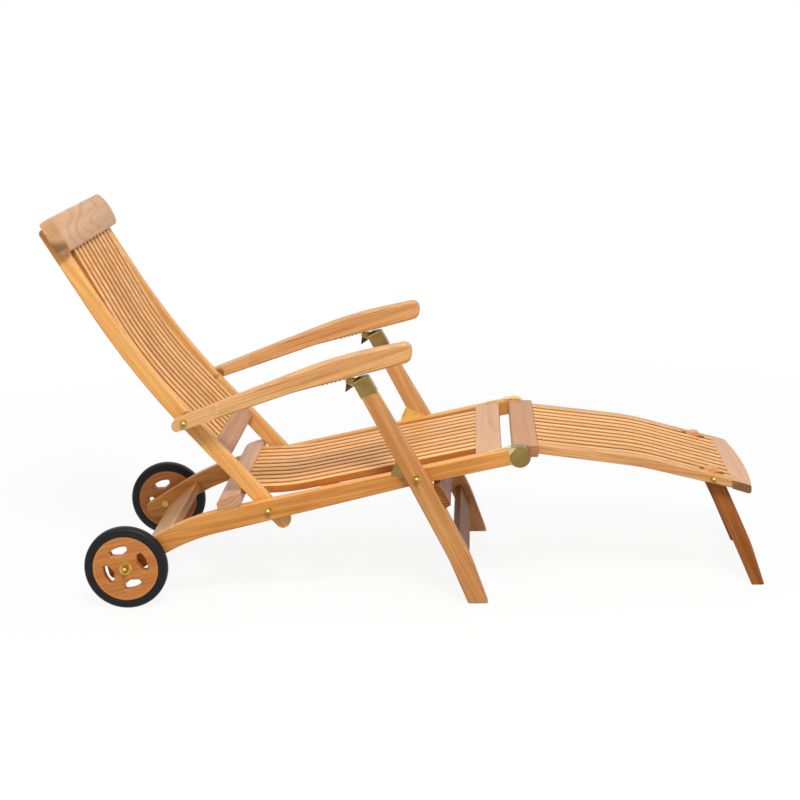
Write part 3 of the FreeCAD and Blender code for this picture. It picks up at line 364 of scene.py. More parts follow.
@dataclass(frozen=True)
class Timber:
    """A cut of teak: its colours and how its figure lies."""

    name: str
    pale: Colour
    warm: Colour
    dark: Colour
    band: float = 0.8              # contrast of the broad soft stripes
    band_count: float = 85.0       # of them in a metre across the fibres
    line: float = 0.42             # contrast of the fine lines
    line_count: float = 430.0      # of them in a metre across the fibres
    pore_count: float = 1500.0
    pore_depth: float = 0.30       # how dark the pores are
    ring_depth: float = 0.34       # how strongly the late wood shows
    ring_gap: float = 0.0065       # between growth rings
    pith_far: float = 0.085        # from the board to the heart of the trunk
    pith_lean: float = 0.035       # how far the trunk leans from the board
    sway: float = 0.008            # how far the rings wander
    end_depth: float = 0.40        # rings and darkness on the sawn ends
    bleach: float = 0.25           # how much painted light the faces take that look up
    variety: float = 0.14          # how far the tone of one board may fall
    worn_edge: float = 0.25        # how pale the rounded edges are, partly from wear and partly from a painted highlight
    edge_width: float = 0.0020
    gloss_rough: float = 0.46      # how soft the reflections are
    gloss: float = 0.40            # how strong they are

    def material(self, board: "Board") -> Material:
        """Make this timber for one board, or for a row of equal slats.

        Args:
            board: The board, with the run of its fibres.

        Returns:
            The finished material.
        """
        s = Shader(f"{self.name}_{board.node}")
        place, facing = s.object_place()
        own, tone, blush = self._own(s, place, board)
        fibre = self._aligned(s, own, board.along)
        endwise = s.math("ABSOLUTE", s.vector("DOT_PRODUCT", facing, tuple(board.along)))
        end = s.math("POWER", endwise, 6.0)
        bands = s.noise(self._stretched(s, fibre, 0.035), self.band_count)
        fine = s.noise(self._stretched(s, fibre, 0.022), self.line_count, 3.0, 0.6)
        rings = self._rings(s, fibre, own, board)
        pores = s.between(s.noise(self._stretched(s, fibre, 0.05), self.pore_count, 1.0), 0.66, 0.76)
        half = 0.5 * self.band
        colour = s.mix(s.between(bands, 0.34, 0.66, 0.5 - half, 0.5 + half), self.pale, self.warm)
        colour = s.mix(s.times(blush, 0.35), colour, self.warm)
        ring_depth = s.math("MULTIPLY_ADD", end, self.end_depth, self.ring_depth)
        colour = s.mix(s.times(rings, ring_depth), colour, self.dark)
        colour = s.mix(s.between(fine, 0.42, 0.74, 0.0, self.line), colour, self.dark)
        colour = s.mix(s.times(pores, self.pore_depth), colour, self.dark)
        colour = s.mix(s.times(end, 0.5 * self.end_depth), colour, self.dark)
        # painted light: the faces that look up are mixed toward the pale colour
        up = s.between(s.split(facing)[2], 0.45, 0.92, 0.0, self.bleach)
        colour = s.mix(up, colour, self.pale)
        # the rounded edges turn pale: partly wear, partly a painted highlight
        colour = s.mix(s.times(s.arris(self.edge_width), self.worn_edge), colour, self.pale)
        shade = s.math("MULTIPLY_ADD", tone, self.variety, 1.04 - self.variety)
        colour = s.mix(1.0, colour, s.merge(shade, shade, shade), "MULTIPLY")
        colour = board.touch(s, colour, place, own, facing, end)
        roughness = s.math("MULTIPLY_ADD", fine, 0.16, self.gloss_rough - 0.08)
        s.set(Base_Color=colour, Roughness=roughness, Specular_IOR_Level=self.gloss)
        height = s.math("SUBTRACT", s.math("MULTIPLY_ADD", rings, -0.3, fine), pores)
        s.bump(height, 0.22, 0.0003)
        return s.material

    @staticmethod
    def _own(s: Shader, place: Socket, board: "Board") -> tuple[Socket, Socket, Socket]:
        """Measure from the middle of the board, or of the slat, and give each its own figure.

        Args:
            s: The shader.
            place: The place in the chair's frame.
            board: The board or row of slats.

        Returns:
            The place in the board's own measure, and two numbers from 0 to 1 for its tone.
        """
        low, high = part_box(board.node)
        middle = 0.5 * (low + high)
        number = s.add("TexWhiteNoise")
        number.noise_dimensions = "1D"
        if board.pitch > 0.0:
            slat = s.math("FLOOR", s.math("ADD", s.math("DIVIDE", s.split(place)[1], board.pitch), 0.5))
            s.join(s.math("ADD", slat, board.seed), number.inputs["W"])
            centre = s.merge(middle.x, s.times(slat, board.pitch), middle.z)
        else:
            number.inputs["W"].default_value = board.seed
            centre = tuple(middle)
        red, green, blue = s.split(number.outputs["Color"])
        own = s.vector("SUBTRACT", place, centre)
        if board.pitch > 0.0:
            ahead = s.times(red, FIGURE_ALONG)
            shift = s.merge(ahead, 0.0, s.times(green, FIGURE_UP))
            own = s.vector("ADD", own, shift)
        return own, number.outputs["Value"], blue

    @staticmethod
    def _aligned(s: Shader, own: Socket, along: Vector) -> Socket:
        """Turn the place so that the fibres run along its first axis.

        Args:
            s: The shader.
            own: The place in the board's own measure.
            along: The direction of the fibres.

        Returns:
            The turned place.
        """
        side = ACROSS if abs(along.y) < 0.5 else Vector((1.0, 0.0, 0.0))
        up = along.cross(side).normalized()
        side = up.cross(along).normalized()
        parts = [s.vector("DOT_PRODUCT", own, tuple(axis)) for axis in (along, side, up)]
        return s.merge(*parts)

    @staticmethod
    def _stretched(s: Shader, fibre: Socket, share: float) -> Socket:
        """Draw a place out along the fibres, so that noise read there turns to streaks."""
        return s.vector("MULTIPLY", fibre, (share, 1.0, 1.0))

    def _rings(self, s: Shader, fibre: Socket, own: Socket, board: "Board") -> Socket:
        """Growth rings about a heart that lies off the board.

        Args:
            s: The shader.
            fibre: The place with the fibres along its first axis.
            own: The place in the board's own measure.
            board: The board.

        Returns:
            The late wood from 0 to 1.
        """
        turn = math.radians(board.heart_deg)
        slow = s.noise(self._stretched(s, fibre, 0.16), 9.0)
        fine = s.noise(self._stretched(s, fibre, 0.10), 48.0)
        small = s.times(fine, 0.35 * self.sway)
        wander = s.math("MULTIPLY_ADD", slow, 2.0 * self.sway, small)
        x, y, z = s.split(fibre)
        lean = s.times(x, self.pith_lean * (1.0 if math.cos(board.seed) > 0.0 else -1.0))
        y = s.math("ADD", s.math("ADD", y, self.pith_far * math.cos(turn)), lean)
        z = s.math("ADD", z, self.pith_far * math.sin(turn))
        far = s.vector("LENGTH", s.merge(0.0, y, z))
        for knot in board.knots:
            near = s.vector("LENGTH", s.vector("SUBTRACT", own, tuple(knot.at)))
            fall = s.times(s.math("POWER", near, 2.0), -0.5 / knot.reach ** 2)
            far = s.math("MULTIPLY_ADD", s.math("EXPONENT", fall), knot.lift, far)
        count = s.math("DIVIDE", s.math("ADD", far, wander), self.ring_gap)
        phase = s.math("FRACT", count)
        late = s.times(s.between(phase, 0.30, 0.84), s.between(phase, 1.0, 0.90))
        year = s.noise(s.merge(s.math("FLOOR", count), 0.0, 0.0), 0.77, 0.0)
        return s.times(late, s.between(year, 0.30, 0.70, 0.35, 1.0))


@dataclass(frozen=True)
class Brass:
    """Brass that has dulled on its faces, its edges paler partly from rubbing and partly from a painted
    highlight.
    """

    name: str
    bright: Colour
    dull: Colour
    # the colour of stains, and of the painted shade on the faces that look down
    stain: Colour
    roughness: float = 0.34
    grime: float = 0.0             # how much painted shade the faces take that look down
    metal: float = 1.0             # how much of it shines as bare metal
    edge_width: float = 0.0010

    def material(self) -> Material:
        """Make the brass.

        Returns:
            The finished material.
        """
        s = Shader(self.name)
        place, facing = s.object_place()
        patches = s.noise(place, 42.0, 3.0)
        specks = s.noise(place, 520.0, 3.0, 0.6)
        rubbed = s.noise(s.vector("MULTIPLY", place, (0.15, 1.0, 1.0)), 900.0)
        colour = s.mix(s.between(patches, 0.30, 0.62), self.bright, self.dull)
        colour = s.mix(s.between(specks, 0.60, 0.74, 0.0, 0.30), colour, self.stain)
        # painted shade on the faces that look down, toward the stain colour
        down = s.between(s.split(facing)[2], 0.25, -0.45, 0.0, self.grime)
        colour = s.mix(down, colour, self.stain)
        # pale edges: partly rubbed bright, partly a painted highlight
        colour = s.mix(s.times(s.arris(self.edge_width), 0.55), colour, self.bright)
        roughness = s.math("MULTIPLY_ADD", patches, 0.20, self.roughness - 0.10)
        s.set(Base_Color=colour, Metallic=self.metal, Roughness=roughness)
        s.bump(s.math("ADD", s.times(rubbed, 0.4), specks), 0.10, 0.00015)
        return s.material


@dataclass(frozen=True)
class Rubber:
    """Dull black rubber of a solid tyre, a little dusty where it meets the ground."""

    name: str
    black: Colour
    dust: Colour

    def material(self, axle: Vector, radius: float) -> Material:
        """Make the rubber of one tyre.

        Args:
            axle: A point on the wheel's axle.
            radius: The wheel's radius.

        Returns:
            The finished material.
        """
        s = Shader(self.name)
        place, _ = s.object_place()
        grit = s.noise(place, 340.0, 4.0, 0.65)
        blotch = s.noise(place, 38.0, 3.0, 0.6)
        x, _, z = s.split(s.vector("SUBTRACT", place, tuple(axle)))
        reach = s.vector("LENGTH", s.merge(x, 0.0, z))
        tread = s.between(reach, 0.90 * radius, 0.995 * radius, 0.05, 0.5)
        dusty = s.times(s.between(blotch, 0.35, 0.75), tread)
        colour = s.mix(s.times(dusty, 0.5), self.black, self.dust)
        colour = s.mix(s.between(grit, 0.55, 0.75, 0.0, 0.25), colour, self.dust)
        roughness = s.math("MULTIPLY_ADD", grit, 0.20, 0.44)
        s.set(Base_Color=colour, Roughness=roughness, Specular_IOR_Level=0.30)
        s.bump(grit, 0.25, 0.0004)
        return s.material


HONEY = Timber("honey_teak", srgb(230, 177, 116), srgb(213, 150, 87), srgb(150, 90, 40), line=0.55)
STRAW = Timber("straw_teak", srgb(248, 192, 114), srgb(232, 162, 86), srgb(178, 112, 50), line=0.34)
AMBER = Timber(
    "amber_teak", srgb(238, 170, 88), srgb(204, 127, 48), srgb(148, 86, 30), bleach=0.85, worn_edge=0.5,
)
SLAT = Timber(
    "slat_teak", srgb(252, 202, 132), srgb(236, 170, 94), srgb(176, 110, 46),
    band_count=60.0, line=0.36, variety=0.22, worn_edge=0.4,
)
ROSE = Timber(
    "rose_teak", srgb(220, 172, 130), srgb(204, 150, 106), srgb(150, 98, 60),
    band=0.6, band_count=40.0, ring_gap=0.0085, pith_far=0.060, pith_lean=0.06, sway=0.016, line=0.28,
)
TAN = Timber(
    "tan_teak", srgb(218, 173, 129), srgb(200, 151, 105), srgb(150, 100, 56),
    band=0.5, band_count=40.0, line=0.20, ring_depth=0.42, ring_gap=0.0060,
    pith_far=0.050, pith_lean=0.07, sway=0.014, end_depth=0.1, bleach=0.0,
)
CLAY = Timber(
    "clay_teak", srgb(207, 148, 102), srgb(188, 127, 82), srgb(140, 88, 50),
    band=0.7, band_count=45.0, line=0.32, ring_gap=0.0080, pith_far=0.060, sway=0.014,
)
BROWN = Timber(
    "brown_teak", srgb(224, 164, 98), srgb(200, 130, 66), srgb(144, 86, 38), band=1.0, line=0.44,
)
CHESTNUT = Timber(
    "chestnut_teak", srgb(168, 100, 44), srgb(140, 78, 28), srgb(90, 48, 14),
    band=1.0, line=0.40, bleach=0.0, gloss=0.2,
)
UMBER = Timber(
    "umber_teak", srgb(158, 99, 44), srgb(134, 80, 32), srgb(86, 52, 22),
    end_depth=0.3, bleach=0.0, gloss=0.08,
)
RUSSET = Timber(
    "russet_teak", srgb(210, 136, 66), srgb(188, 110, 46), srgb(146, 78, 30),
    band=0.7, band_count=45.0, line=0.34, ring_gap=0.010, sway=0.014, worn_edge=0.8,
)
OLIVE_BRASS = Brass("olive_brass", srgb(158, 134, 80), srgb(144, 120, 68), srgb(110, 90, 46), 0.40)
# a paler copy of the brass for strips and straps that face the light: painted light
PALE_BRASS = Brass("pale_brass", srgb(240, 214, 160), srgb(216, 186, 126), srgb(156, 124, 68), 0.30)
GOLD_BRASS = Brass(
    "gold_brass", srgb(250, 214, 128), srgb(206, 164, 76), srgb(92, 68, 22), 0.24, grime=0.85,
)
# a brighter copy of the brass for pieces that catch the light: painted light
LIT_BRASS = Brass(
    "bright_brass", srgb(255, 226, 134), srgb(240, 192, 92), srgb(170, 120, 44), 0.32, metal=0.45,
)
# a duller copy of the brass for the spacers in the shade between arm and stile: painted shade
BROWN_BRASS = Brass("brown_brass", srgb(190, 136, 82), srgb(170, 114, 62), srgb(120, 76, 36), 0.50)
# a darker copy of the brass for pieces under the arm: painted shade
SHADED_BRASS = Brass("dark_brass", srgb(104, 86, 48), srgb(74, 60, 30), srgb(42, 32, 16), 0.40)
TYRE_RUBBER = Rubber("tyre_rubber", srgb(13, 13, 14), srgb(44, 43, 43))


class Side(Enum):
    """The two sides of the chair, as the sitter has them."""

    LEFT = 1
    RIGHT = -1

    @property
    def word(self) -> str:
        """The side as node names end."""
        return self.name.lower()


def dress(node: str, material: Material) -> bpy.types.Object:
    """Give a node its material, keeping its own mesh.

    Args:
        node: The node's name.
        material: The finish of all its faces.

    Returns:
        The node's object.
    """
    piece = frame["nodes"][node]
    piece.data.materials.clear()
    piece.data.materials.append(material)
    for face in piece.data.polygons:
        face.material_index = 0
    LOG.info("dressed %s in %s", node, material.name)
    return piece


def dress_in_two(
    node: str, first: Material, second: Material, is_second: Callable[[Vector], bool]
) -> None:
    """Give a node two finishes, face by face.

    Args:
        node: The node's name.
        first: The finish of most faces.
        second: The finish of the others.
        is_second: Says from the middle of a face whether it is one of the others.
    """
    piece = dress(node, first)
    piece.data.materials.append(second)
    for face in piece.data.polygons:
        face.material_index = int(is_second(face.center))


def joint_place(joint: str) -> Vector:
    """Where a joint's axis is, as the frame gives it."""
    return next(Vector(j["pos_m"]) for j in frame["joints"] if j["name"] == joint)


@dataclass
class Turned:
    """A small piece turned on a lathe: a profile swept round an axis."""

    name: str
    body: str
    slot: str
    centre: Vector
    axis: Vector
    profile: list[tuple[float, float]]     # radius and height, from the first end to the last
    steps: int = 40
    closed: bool = False                   # whether the profile is a ring of its own

    def shape(self) -> bmesh.types.BMesh:
        """Sweep the profile round the axis, which is Z here.

        Returns:
            The swept shape.
        """
        shape = bmesh.new()
        points = [shape.verts.new((r, 0.0, h)) for r, h in self.profile]
        path = points + points[:1] if self.closed else points
        edges = [shape.edges.new(pair) for pair in zip(path, path[1:])]
        bmesh.ops.spin(
            shape, geom=points + edges, cent=(0.0, 0.0, 0.0), axis=(0.0, 0.0, 1.0),
            angle=2.0 * math.pi, steps=self.steps, use_merge=True,
        )
        bmesh.ops.remove_doubles(shape, verts=shape.verts[:], dist=1e-6)
        bmesh.ops.recalc_face_normals(shape, faces=shape.faces[:])
        return shape

    def place(self, shape: bmesh.types.BMesh, material: Material) -> bpy.types.Object:
        """Turn the swept shape into a piece of the chair.

        Args:
            shape: The shape about Z.
            material: Its finish.

        Returns:
            The piece, riding on its body.
        """
        turn = self.axis.to_track_quat("Z", "Y").to_matrix().to_4x4()
        bmesh.ops.transform(shape, matrix=Matrix.Translation(self.centre) @ turn, verts=shape.verts[:])
        mesh = bpy.data.meshes.new(self.name)
        shape.to_mesh(mesh)
        shape.free()
        mesh.shade_smooth()
        mesh.set_sharp_from_angle(angle=math.radians(SHARP_DEG))
        mesh.materials.append(material)
        piece = bpy.data.objects.new(self.name, mesh)
        bpy.context.scene.collection.objects.link(piece)
        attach(piece, self.body)
        LOG.info("made %s", self.name)
        return piece

    def build(self, material: Material) -> bpy.types.Object:
        """Make the piece as it comes off the lathe."""
        return self.place(self.shape(), material)


@dataclass
class Slotted(Turned):
    """A turned head with a screwdriver's slot across it."""

    slot_width: float = 0.0011
    slot_depth: float = 0.0006
    wall: float = 0.00006                  # how far the slot's sides lean

    def build(self, material: Material) -> bpy.types.Object:
        """Make the head and press the slot into it.

        Args:
            material: Its finish.

        Returns:
            The piece.
        """
        shape = self.shape()
        half = 0.5 * self.slot_width
        for x in (-half, -half + self.wall, half - self.wall, half):
            everything = shape.verts[:] + shape.edges[:] + shape.faces[:]
            bmesh.ops.bisect_plane(shape, geom=everything, plane_co=(x, 0.0, 0.0), plane_no=(1.0, 0.0, 0.0))
        top = max(v.co.z for v in shape.verts)
        for vert in shape.verts:
            if abs(vert.co.x) < half - 0.5 * self.wall and vert.co.z > top - self.slot_depth:
                vert.co.z = min(vert.co.z, top - self.slot_depth)
        return self.place(shape, material)


def dome(radius: float, spread_deg: float, count: int = 7) -> list[tuple[float, float]]:
    """The profile of a cap cut from a ball, from its rim to its top, with a short wall below.

    Args:
        radius: The ball's radius.
        spread_deg: The angle from the axis to the rim.
        count: Points on the arc.

    Returns:
        Radius and height of each point, measured from the ball's middle.
    """
    turns = [math.radians(spread_deg * (1.0 - i / (count - 1))) for i in range(count)]
    arc = [(radius * math.sin(t), radius * math.cos(t)) for t in turns]
    rim_r, rim_h = arc[0]
    return [(0.0, rim_h - CAP_WALL), (rim_r, rim_h - CAP_WALL)] + arc


def nut_caps(node: str, joint: str, body: str, radius: float, sides: tuple[Side, ...] = tuple(Side)) -> None:
    """Put a slotted cap on the dome of each nut of a bolt.

    Args:
        node: The node with the bolts.
        joint: The joint whose axis they lie on.
        body: The body that they turn with.
        radius: The radius of a nut's dome.
        sides: The sides of the chair that have one.
    """
    at = joint_place(joint)
    tip = max(abs(corner.y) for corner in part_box(node))
    for side in sides:
        centre = Vector((at.x, side.value * (tip - radius), at.z))
        profile = dome(radius + CAP_RISE, CAP_SPREAD_DEG)
        cap = Slotted(f"{node}_cap_{side.word}", body, "brass", centre, side.value * ACROSS, profile)
        cap.build(GOLD_BRASS.material())


def screw(name: str, node: str, body: str, above: Vector, down: Vector) -> None:
    """Set a flat slotted screw on a brass strip.

    Args:
        name: The screw's name.
        node: The node that carries it.
        body: The body that it rides on.
        above: A point outside the strip, over the screw's place.
        down: The way from there to the strip.
    """
    found, place, normal, _ = frame["nodes"][node].ray_cast(above, down)
    if not found:
        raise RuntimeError(f"no surface of {node} under {name}")
    head = Slotted(name, body, "brass", place, normal, SCREW_PROFILE, slot_width=0.0009)
    # the screw heads take the lit brass: painted light
    head.build(LIT_BRASS.material())


@dataclass(frozen=True)
class Knot:
    """A place where the growth rings close round an old branch."""

    at: Vector                     # from the middle of the board
    reach: float                   # how wide it spreads
    lift: float                    # how far it pushes the rings


@dataclass
class Board:
    """One timber node with its finish and the run of its fibres."""

    node: str
    timber: Timber
    along: Vector
    seed: float
    pitch: float = 0.0             # spacing of the slats across the chair, if it is a row
    gap_shade: float = 0.0         # how much painted shade the sides between the slats take
    heart_deg: float = 90.0        # where the heart of the trunk lies, seen along the fibres
    knots: tuple[Knot, ...] = ()
    seam: float | None = None      # where a paler block is jointed on behind
    rim: float | None = None       # the radius beyond which a turned edge takes a painted highlight
    end_burn: float = 0.0          # how much painted shade the lower part of its sawn ends takes
    burn_from: float = 0.0         # where that begins, from the board's middle
    tip: float | None = None       # the height above which it takes a painted highlight

    def touch(
        self, s: Shader, colour: Socket, place: Socket, own: Socket, facing: Socket, end: Socket
    ) -> Socket:
        """Add what only this board has, such as painted shade on the sides between slats or a jointed block.

        Args:
            s: The shader.
            colour: The colour of the timber.
            place: The place in the chair's frame.
            own: The place from the board's middle.
            facing: The direction of the surface.
            end: 1 on the sawn ends.

        Returns:
            The colour with that added.
        """
        # painted shade on the sides of the slats that face across the chair
        if self.gap_shade > 0.0:
            sideways = s.between(s.math("ABSOLUTE", s.split(facing)[1]), 0.35, 0.80, 0.0, self.gap_shade)
            colour = s.mix(sideways, colour, s.mix(1.0, colour, GAP_SHADE, "MULTIPLY"))
        if self.seam is not None:
            behind = s.between(s.split(place)[0], self.seam, self.seam - SEAM_W)
            colour = s.mix(behind, colour, s.mix(JOINTED_SHARE, colour, JOINTED_PALE))
        # painted highlight on the turned edge of a disc
        if self.rim is not None:
            x, _, z = s.split(own)
            reach = s.vector("LENGTH", s.merge(x, 0.0, z))
            edge = s.between(reach, self.rim - SEAM_W, self.rim)
            colour = s.mix(s.times(edge, RIM_HIGHLIGHT_SHARE), colour, self.timber.pale)
        # painted shade on the lower part of the sawn ends
        if self.end_burn > 0.0:
            height = s.split(own)[2]
            low = s.between(height, self.burn_from, self.burn_from - END_SHADE_FADE, 0.0, self.end_burn)
            colour = s.mix(s.times(low, end), colour, END_SHADE)
        # painted highlight on the tops of the legs, where they catch the light
        if self.tip is not None:
            top = s.between(s.split(place)[2], self.tip, self.tip + TIP_FADE, 0.0, TIP_SHARE)
            colour = s.mix(top, colour, TIP_HIGHLIGHT)
        return colour

    def dress(self) -> bpy.types.Object:
        """Dress the node and return it."""
        return dress(self.node, self.timber.material(self))


@dataclass
class SeatFrame:
    """The two rails, the boards and slats between them, and their brass."""

    rise_deg: float = 11.5
    slat_pitch: float = 0.037
    leg_nut: float = 0.007
    hub_nut: float = 0.008
    strip_start: tuple[float, float] = (0.184, 0.361)
    strip_y: float = 0.260
    strip_length: float = 0.057
    strip_clear: float = 0.03      # from where the strip is looked for, above the rail
    strip_screws: tuple[float, float] = (0.010, 0.044)

    def boards(self) -> list[Board]:
        """All the timber of the seat.

        Returns:
            Its boards.
        """
        run = level(self.rise_deg)
        return [
            Board("seat_rail_left", AMBER, run, 1.3),
            Board("seat_rail_right", AMBER, run, 2.9),
            Board("seat_slats", SLAT, run, 11.0, self.slat_pitch, GAP_DARK),
            Board("seat_front_board", ROSE, ACROSS, 3.1),
            Board("seat_rear_board", ROSE, ACROSS, 4.6),
            Board("seat_batten_rear", BROWN, ACROSS, 5.2),
            Board("seat_batten_front", BROWN, ACROSS, 6.7),
            Board("rear_stretcher", HONEY, ACROSS, 7.7),
        ]

    def build(self) -> None:
        """Dress the seat and its fittings."""
        for board in self.boards():
            board.dress()
        olive = OLIVE_BRASS.material()
        dress("knee_pins", olive)
        strip_end = self.strip_start[0] + self.strip_length
        # the far knee cap takes the lit brass and the near one olive: painted light on the far side
        for side, cap in ((Side.LEFT, LIT_BRASS.material()), (Side.RIGHT, olive)):
            # the strips on the rail noses take the pale brass: painted light on brass that faces up
            strip = PALE_BRASS.material()
            dress_in_two(f"knee_cap_{side.word}", cap, strip, lambda middle: middle.x < strip_end)
        # the far wear plate takes the lit brass: painted light
        dress_in_two("leg_wear_plates", olive, LIT_BRASS.material(), lambda middle: middle.y > 0.0)
        gold = GOLD_BRASS.material()
        for node in ("leg_pivot_bolts", "wheel_axle_bolts", "back_pivot_bolts"):
            dress(node, gold)
        nut_caps("leg_pivot_bolts", "leg_fold", "seat_frame", self.leg_nut)
        nut_caps("wheel_axle_bolts", "wheel_spin_left", "seat_frame", self.hub_nut)
        nut_caps("back_pivot_bolts", "back_fold", "back_hinge", self.leg_nut)
        self._strip_screws()

    def _strip_screws(self) -> None:
        """Two screws through each brass strip on the noses of the rails."""
        run = level(self.rise_deg)
        up = level(self.rise_deg + 90.0)
        for side in Side:
            for number, step in enumerate(self.strip_screws, 1):
                over = Vector((*self.strip_start, 0.0)).xzy + side.value * self.strip_y * ACROSS
                start = over + step * run + self.strip_clear * up
                name = f"knee_screw_{side.word}_{number}"
                screw(name, f"knee_cap_{side.word}", "seat_frame", start, -up)


@dataclass
class Backrest:
    """The bent stiles, the slats between them and the headrest."""

    lean_deg: float = 127.0
    slat_pitch: float = 0.037
    inner_face: float = 0.219      # of the stiles, from the middle of the chair
    plug_radius: float = 0.0066
    plug_depth: float = 0.0008
    plug_bevel: tuple[float, float] = (0.0005, 0.0002)     # across and down
    head_heart_deg: float = -37.0
    swirl: Knot = Knot(Vector((0.034, 0.165, -0.010)), 0.030, 0.034)

    def boards(self) -> list[Board]:
        """All the timber of the back.

        Returns:
            Its boards.
        """
        run = level(self.lean_deg)
        return [
            Board("back_stile_left", STRAW, run, 8.1),
            Board("back_stile_right", STRAW, run, 9.4),
            Board("back_slats", SLAT, run, 40.0, self.slat_pitch, GAP_DARK),
            Board(
                "headrest_board", TAN, ACROSS, 10.2,
                heart_deg=self.head_heart_deg, knots=(self.swirl,), end_burn=0.85,
            ),
            Board("back_cross_rail", CLAY, ACROSS, 12.5),
            Board("back_batten", BROWN, ACROSS, 13.1),
        ]

    def build(self) -> None:
        """Dress the back and plug its sunk bolts."""
        for board in self.boards():
            board.dress()
        for word, joint in (("arm", "arm_tilt_left"), ("pivot", "back_fold")):
            for side in Side:
                self._plug(f"{word}_bolt_plug_{side.word}", side, joint_place(joint))

    def _plug(self, name: str, side: Side, at: Vector) -> None:
        """Cover a sunk bolt head with a thin teak plug.

        Args:
            name: The plug's name.
            side: The side of the chair.
            at: A point on the bolt's axis.
        """
        centre = Vector((at.x, side.value * self.inner_face, at.z))
        radius, depth = self.plug_radius, self.plug_depth
        across, down = self.plug_bevel
        profile = [(0.0, -depth), (radius, -depth), (radius, -down), (radius - across, 0.0), (0.0, 0.0)]
        piece = Turned(name, "backrest", "teak", centre, -side.value * ACROSS, profile)
        board = Board(f"back_stile_{side.word}", BROWN, level(self.lean_deg), 51.0)
        piece.build(BROWN.material(board))


@dataclass
class Arm:
    """An arched arm with its bolt, spacer and rack."""

    side: Side
    rise_deg: float = 17.0
    block: float = 0.112           # length of the block jointed on at its rear
    nut: float = 0.007
    drum_radius: float = 0.007     # of the latch's round nose

    def build(self) -> None:
        """Dress the arm and its brass."""
        word = self.side.word
        seed = 14.0 + 1.9 * self.side.value
        low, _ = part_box(f"arm_{word}")
        Board(f"arm_{word}", HONEY, level(self.rise_deg), seed, seam=low.x + self.block).dress()
        dark = SHADED_BRASS.material()
        dress(f"arm_bolt_{word}", GOLD_BRASS.material())
        nut_caps(f"arm_bolt_{word}", f"arm_tilt_{word}", f"arm_hinge_{word}", self.nut, (self.side,))
        # the spacer between arm and stile takes the brown brass: painted shade
        dress(f"arm_spacer_{word}", BROWN_BRASS.material())
        # the rack under the arm takes the shaded brass: painted shade
        dress(f"arm_rack_{word}", dark)
        below = joint_place(f"latch_turn_{word}").z - self.drum_radius
        # the latch's drum takes the lit brass as a painted highlight, its tail below takes the shaded brass
        # as painted shade
        dress_in_two(f"arm_latch_{word}", LIT_BRASS.material(), dark, lambda middle: middle.z < below)


@dataclass
class FrontLegs:
    """The legs in front, their stretchers and their brass caps."""

    lean_deg: float = 116.0
    strap_deg: float = 118.9       # how the brass straps rise
    strap_x: float = -0.0595
    strap_top: float = 0.5215      # where the straps meet the caps
    strap_y: float = 0.291
    strap_clear: float = 0.05      # from where the strap is looked for, ahead of the leg
    strap_screws: tuple[float, float] = (0.4885, 0.5120)

    def build(self) -> None:
        """Dress the legs."""
        run = level(self.lean_deg)
        # the far leg takes a paler timber than the near one: painted light on a leg that sits in shade
        Board("front_leg_left", HONEY, run, 16.3).dress()
        Board("front_leg_right", BROWN, run, 17.9).dress()
        Board("leg_stretcher_upper", CHESTNUT, ACROSS, 18.8).dress()
        Board("leg_stretcher_lower", UMBER, ACROSS, 19.6).dress()
        olive = OLIVE_BRASS.material()
        dress("latch_pins", olive)
        ahead = level(self.strap_deg - 90.0)
        for side in Side:
            cap = f"leg_cap_{side.word}"
            # the straps down the legs' fronts take the pale brass: painted light
            dress_in_two(cap, olive, PALE_BRASS.material(), lambda middle: middle.z < self.strap_top)
            for number, height in enumerate(self.strap_screws, 1):
                strap = Vector((self.strap_x, side.value * self.strap_y, height))
                start = strap + self.strap_clear * ahead
                screw(f"strap_screw_{side.word}_{number}", cap, "front_legs", start, -ahead)


@dataclass
class Wheel:
    """A wooden disc with windows, its rubber tyre and its brass bush."""

    side: Side
    grain_deg: float = 12.0
    rim: float = 0.0748            # where the painted highlight on the disc's turned edge starts
    bead_radius: float = 0.0845    # of the bead on the tyre's wall
    bead_width: float = 0.0040
    bead_rise: float = 0.0008
    bead_sink: float = 0.0001      # of the bead's ends under the wall
    bead_steps: int = 6            # along the bead's half round

    def build(self) -> None:
        """Dress the wheel."""
        word = self.side.word
        low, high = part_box(f"wheel_tyre_{word}")
        axle = 0.5 * (low + high)
        radius = 0.5 * (high.z - low.z)
        seed = 20.0 + 1.4 * self.side.value
        Board(f"wheel_disc_{word}", RUSSET, level(self.grain_deg), seed, rim=self.rim).dress()
        rubber = TYRE_RUBBER.material(axle, radius)
        dress(f"wheel_tyre_{word}", rubber)
        for face, wall_y, way in (("outer", high.y, 1.0), ("inner", low.y, -1.0)):
            bead = Turned(
                f"tyre_bead_{word}_{face}", f"wheel_{word}", "tyre",
                Vector((axle.x, wall_y, axle.z)), way * ACROSS, self._bead(), steps=96, closed=True,
            )
            bead.build(rubber)
        dress(f"wheel_bush_{word}", GOLD_BRASS.material())

    def _bead(self) -> list[tuple[float, float]]:
        """The bead's half round.

        Returns:
            Radius and height over the tyre's wall of each point.
        """
        half = 0.5 * self.bead_width
        turns = [math.pi * i / self.bead_steps for i in range(self.bead_steps + 1)]
        return [
            (self.bead_radius + half * math.cos(t), self.bead_rise * math.sin(t) - self.bead_sink)
            for t in turns
        ]


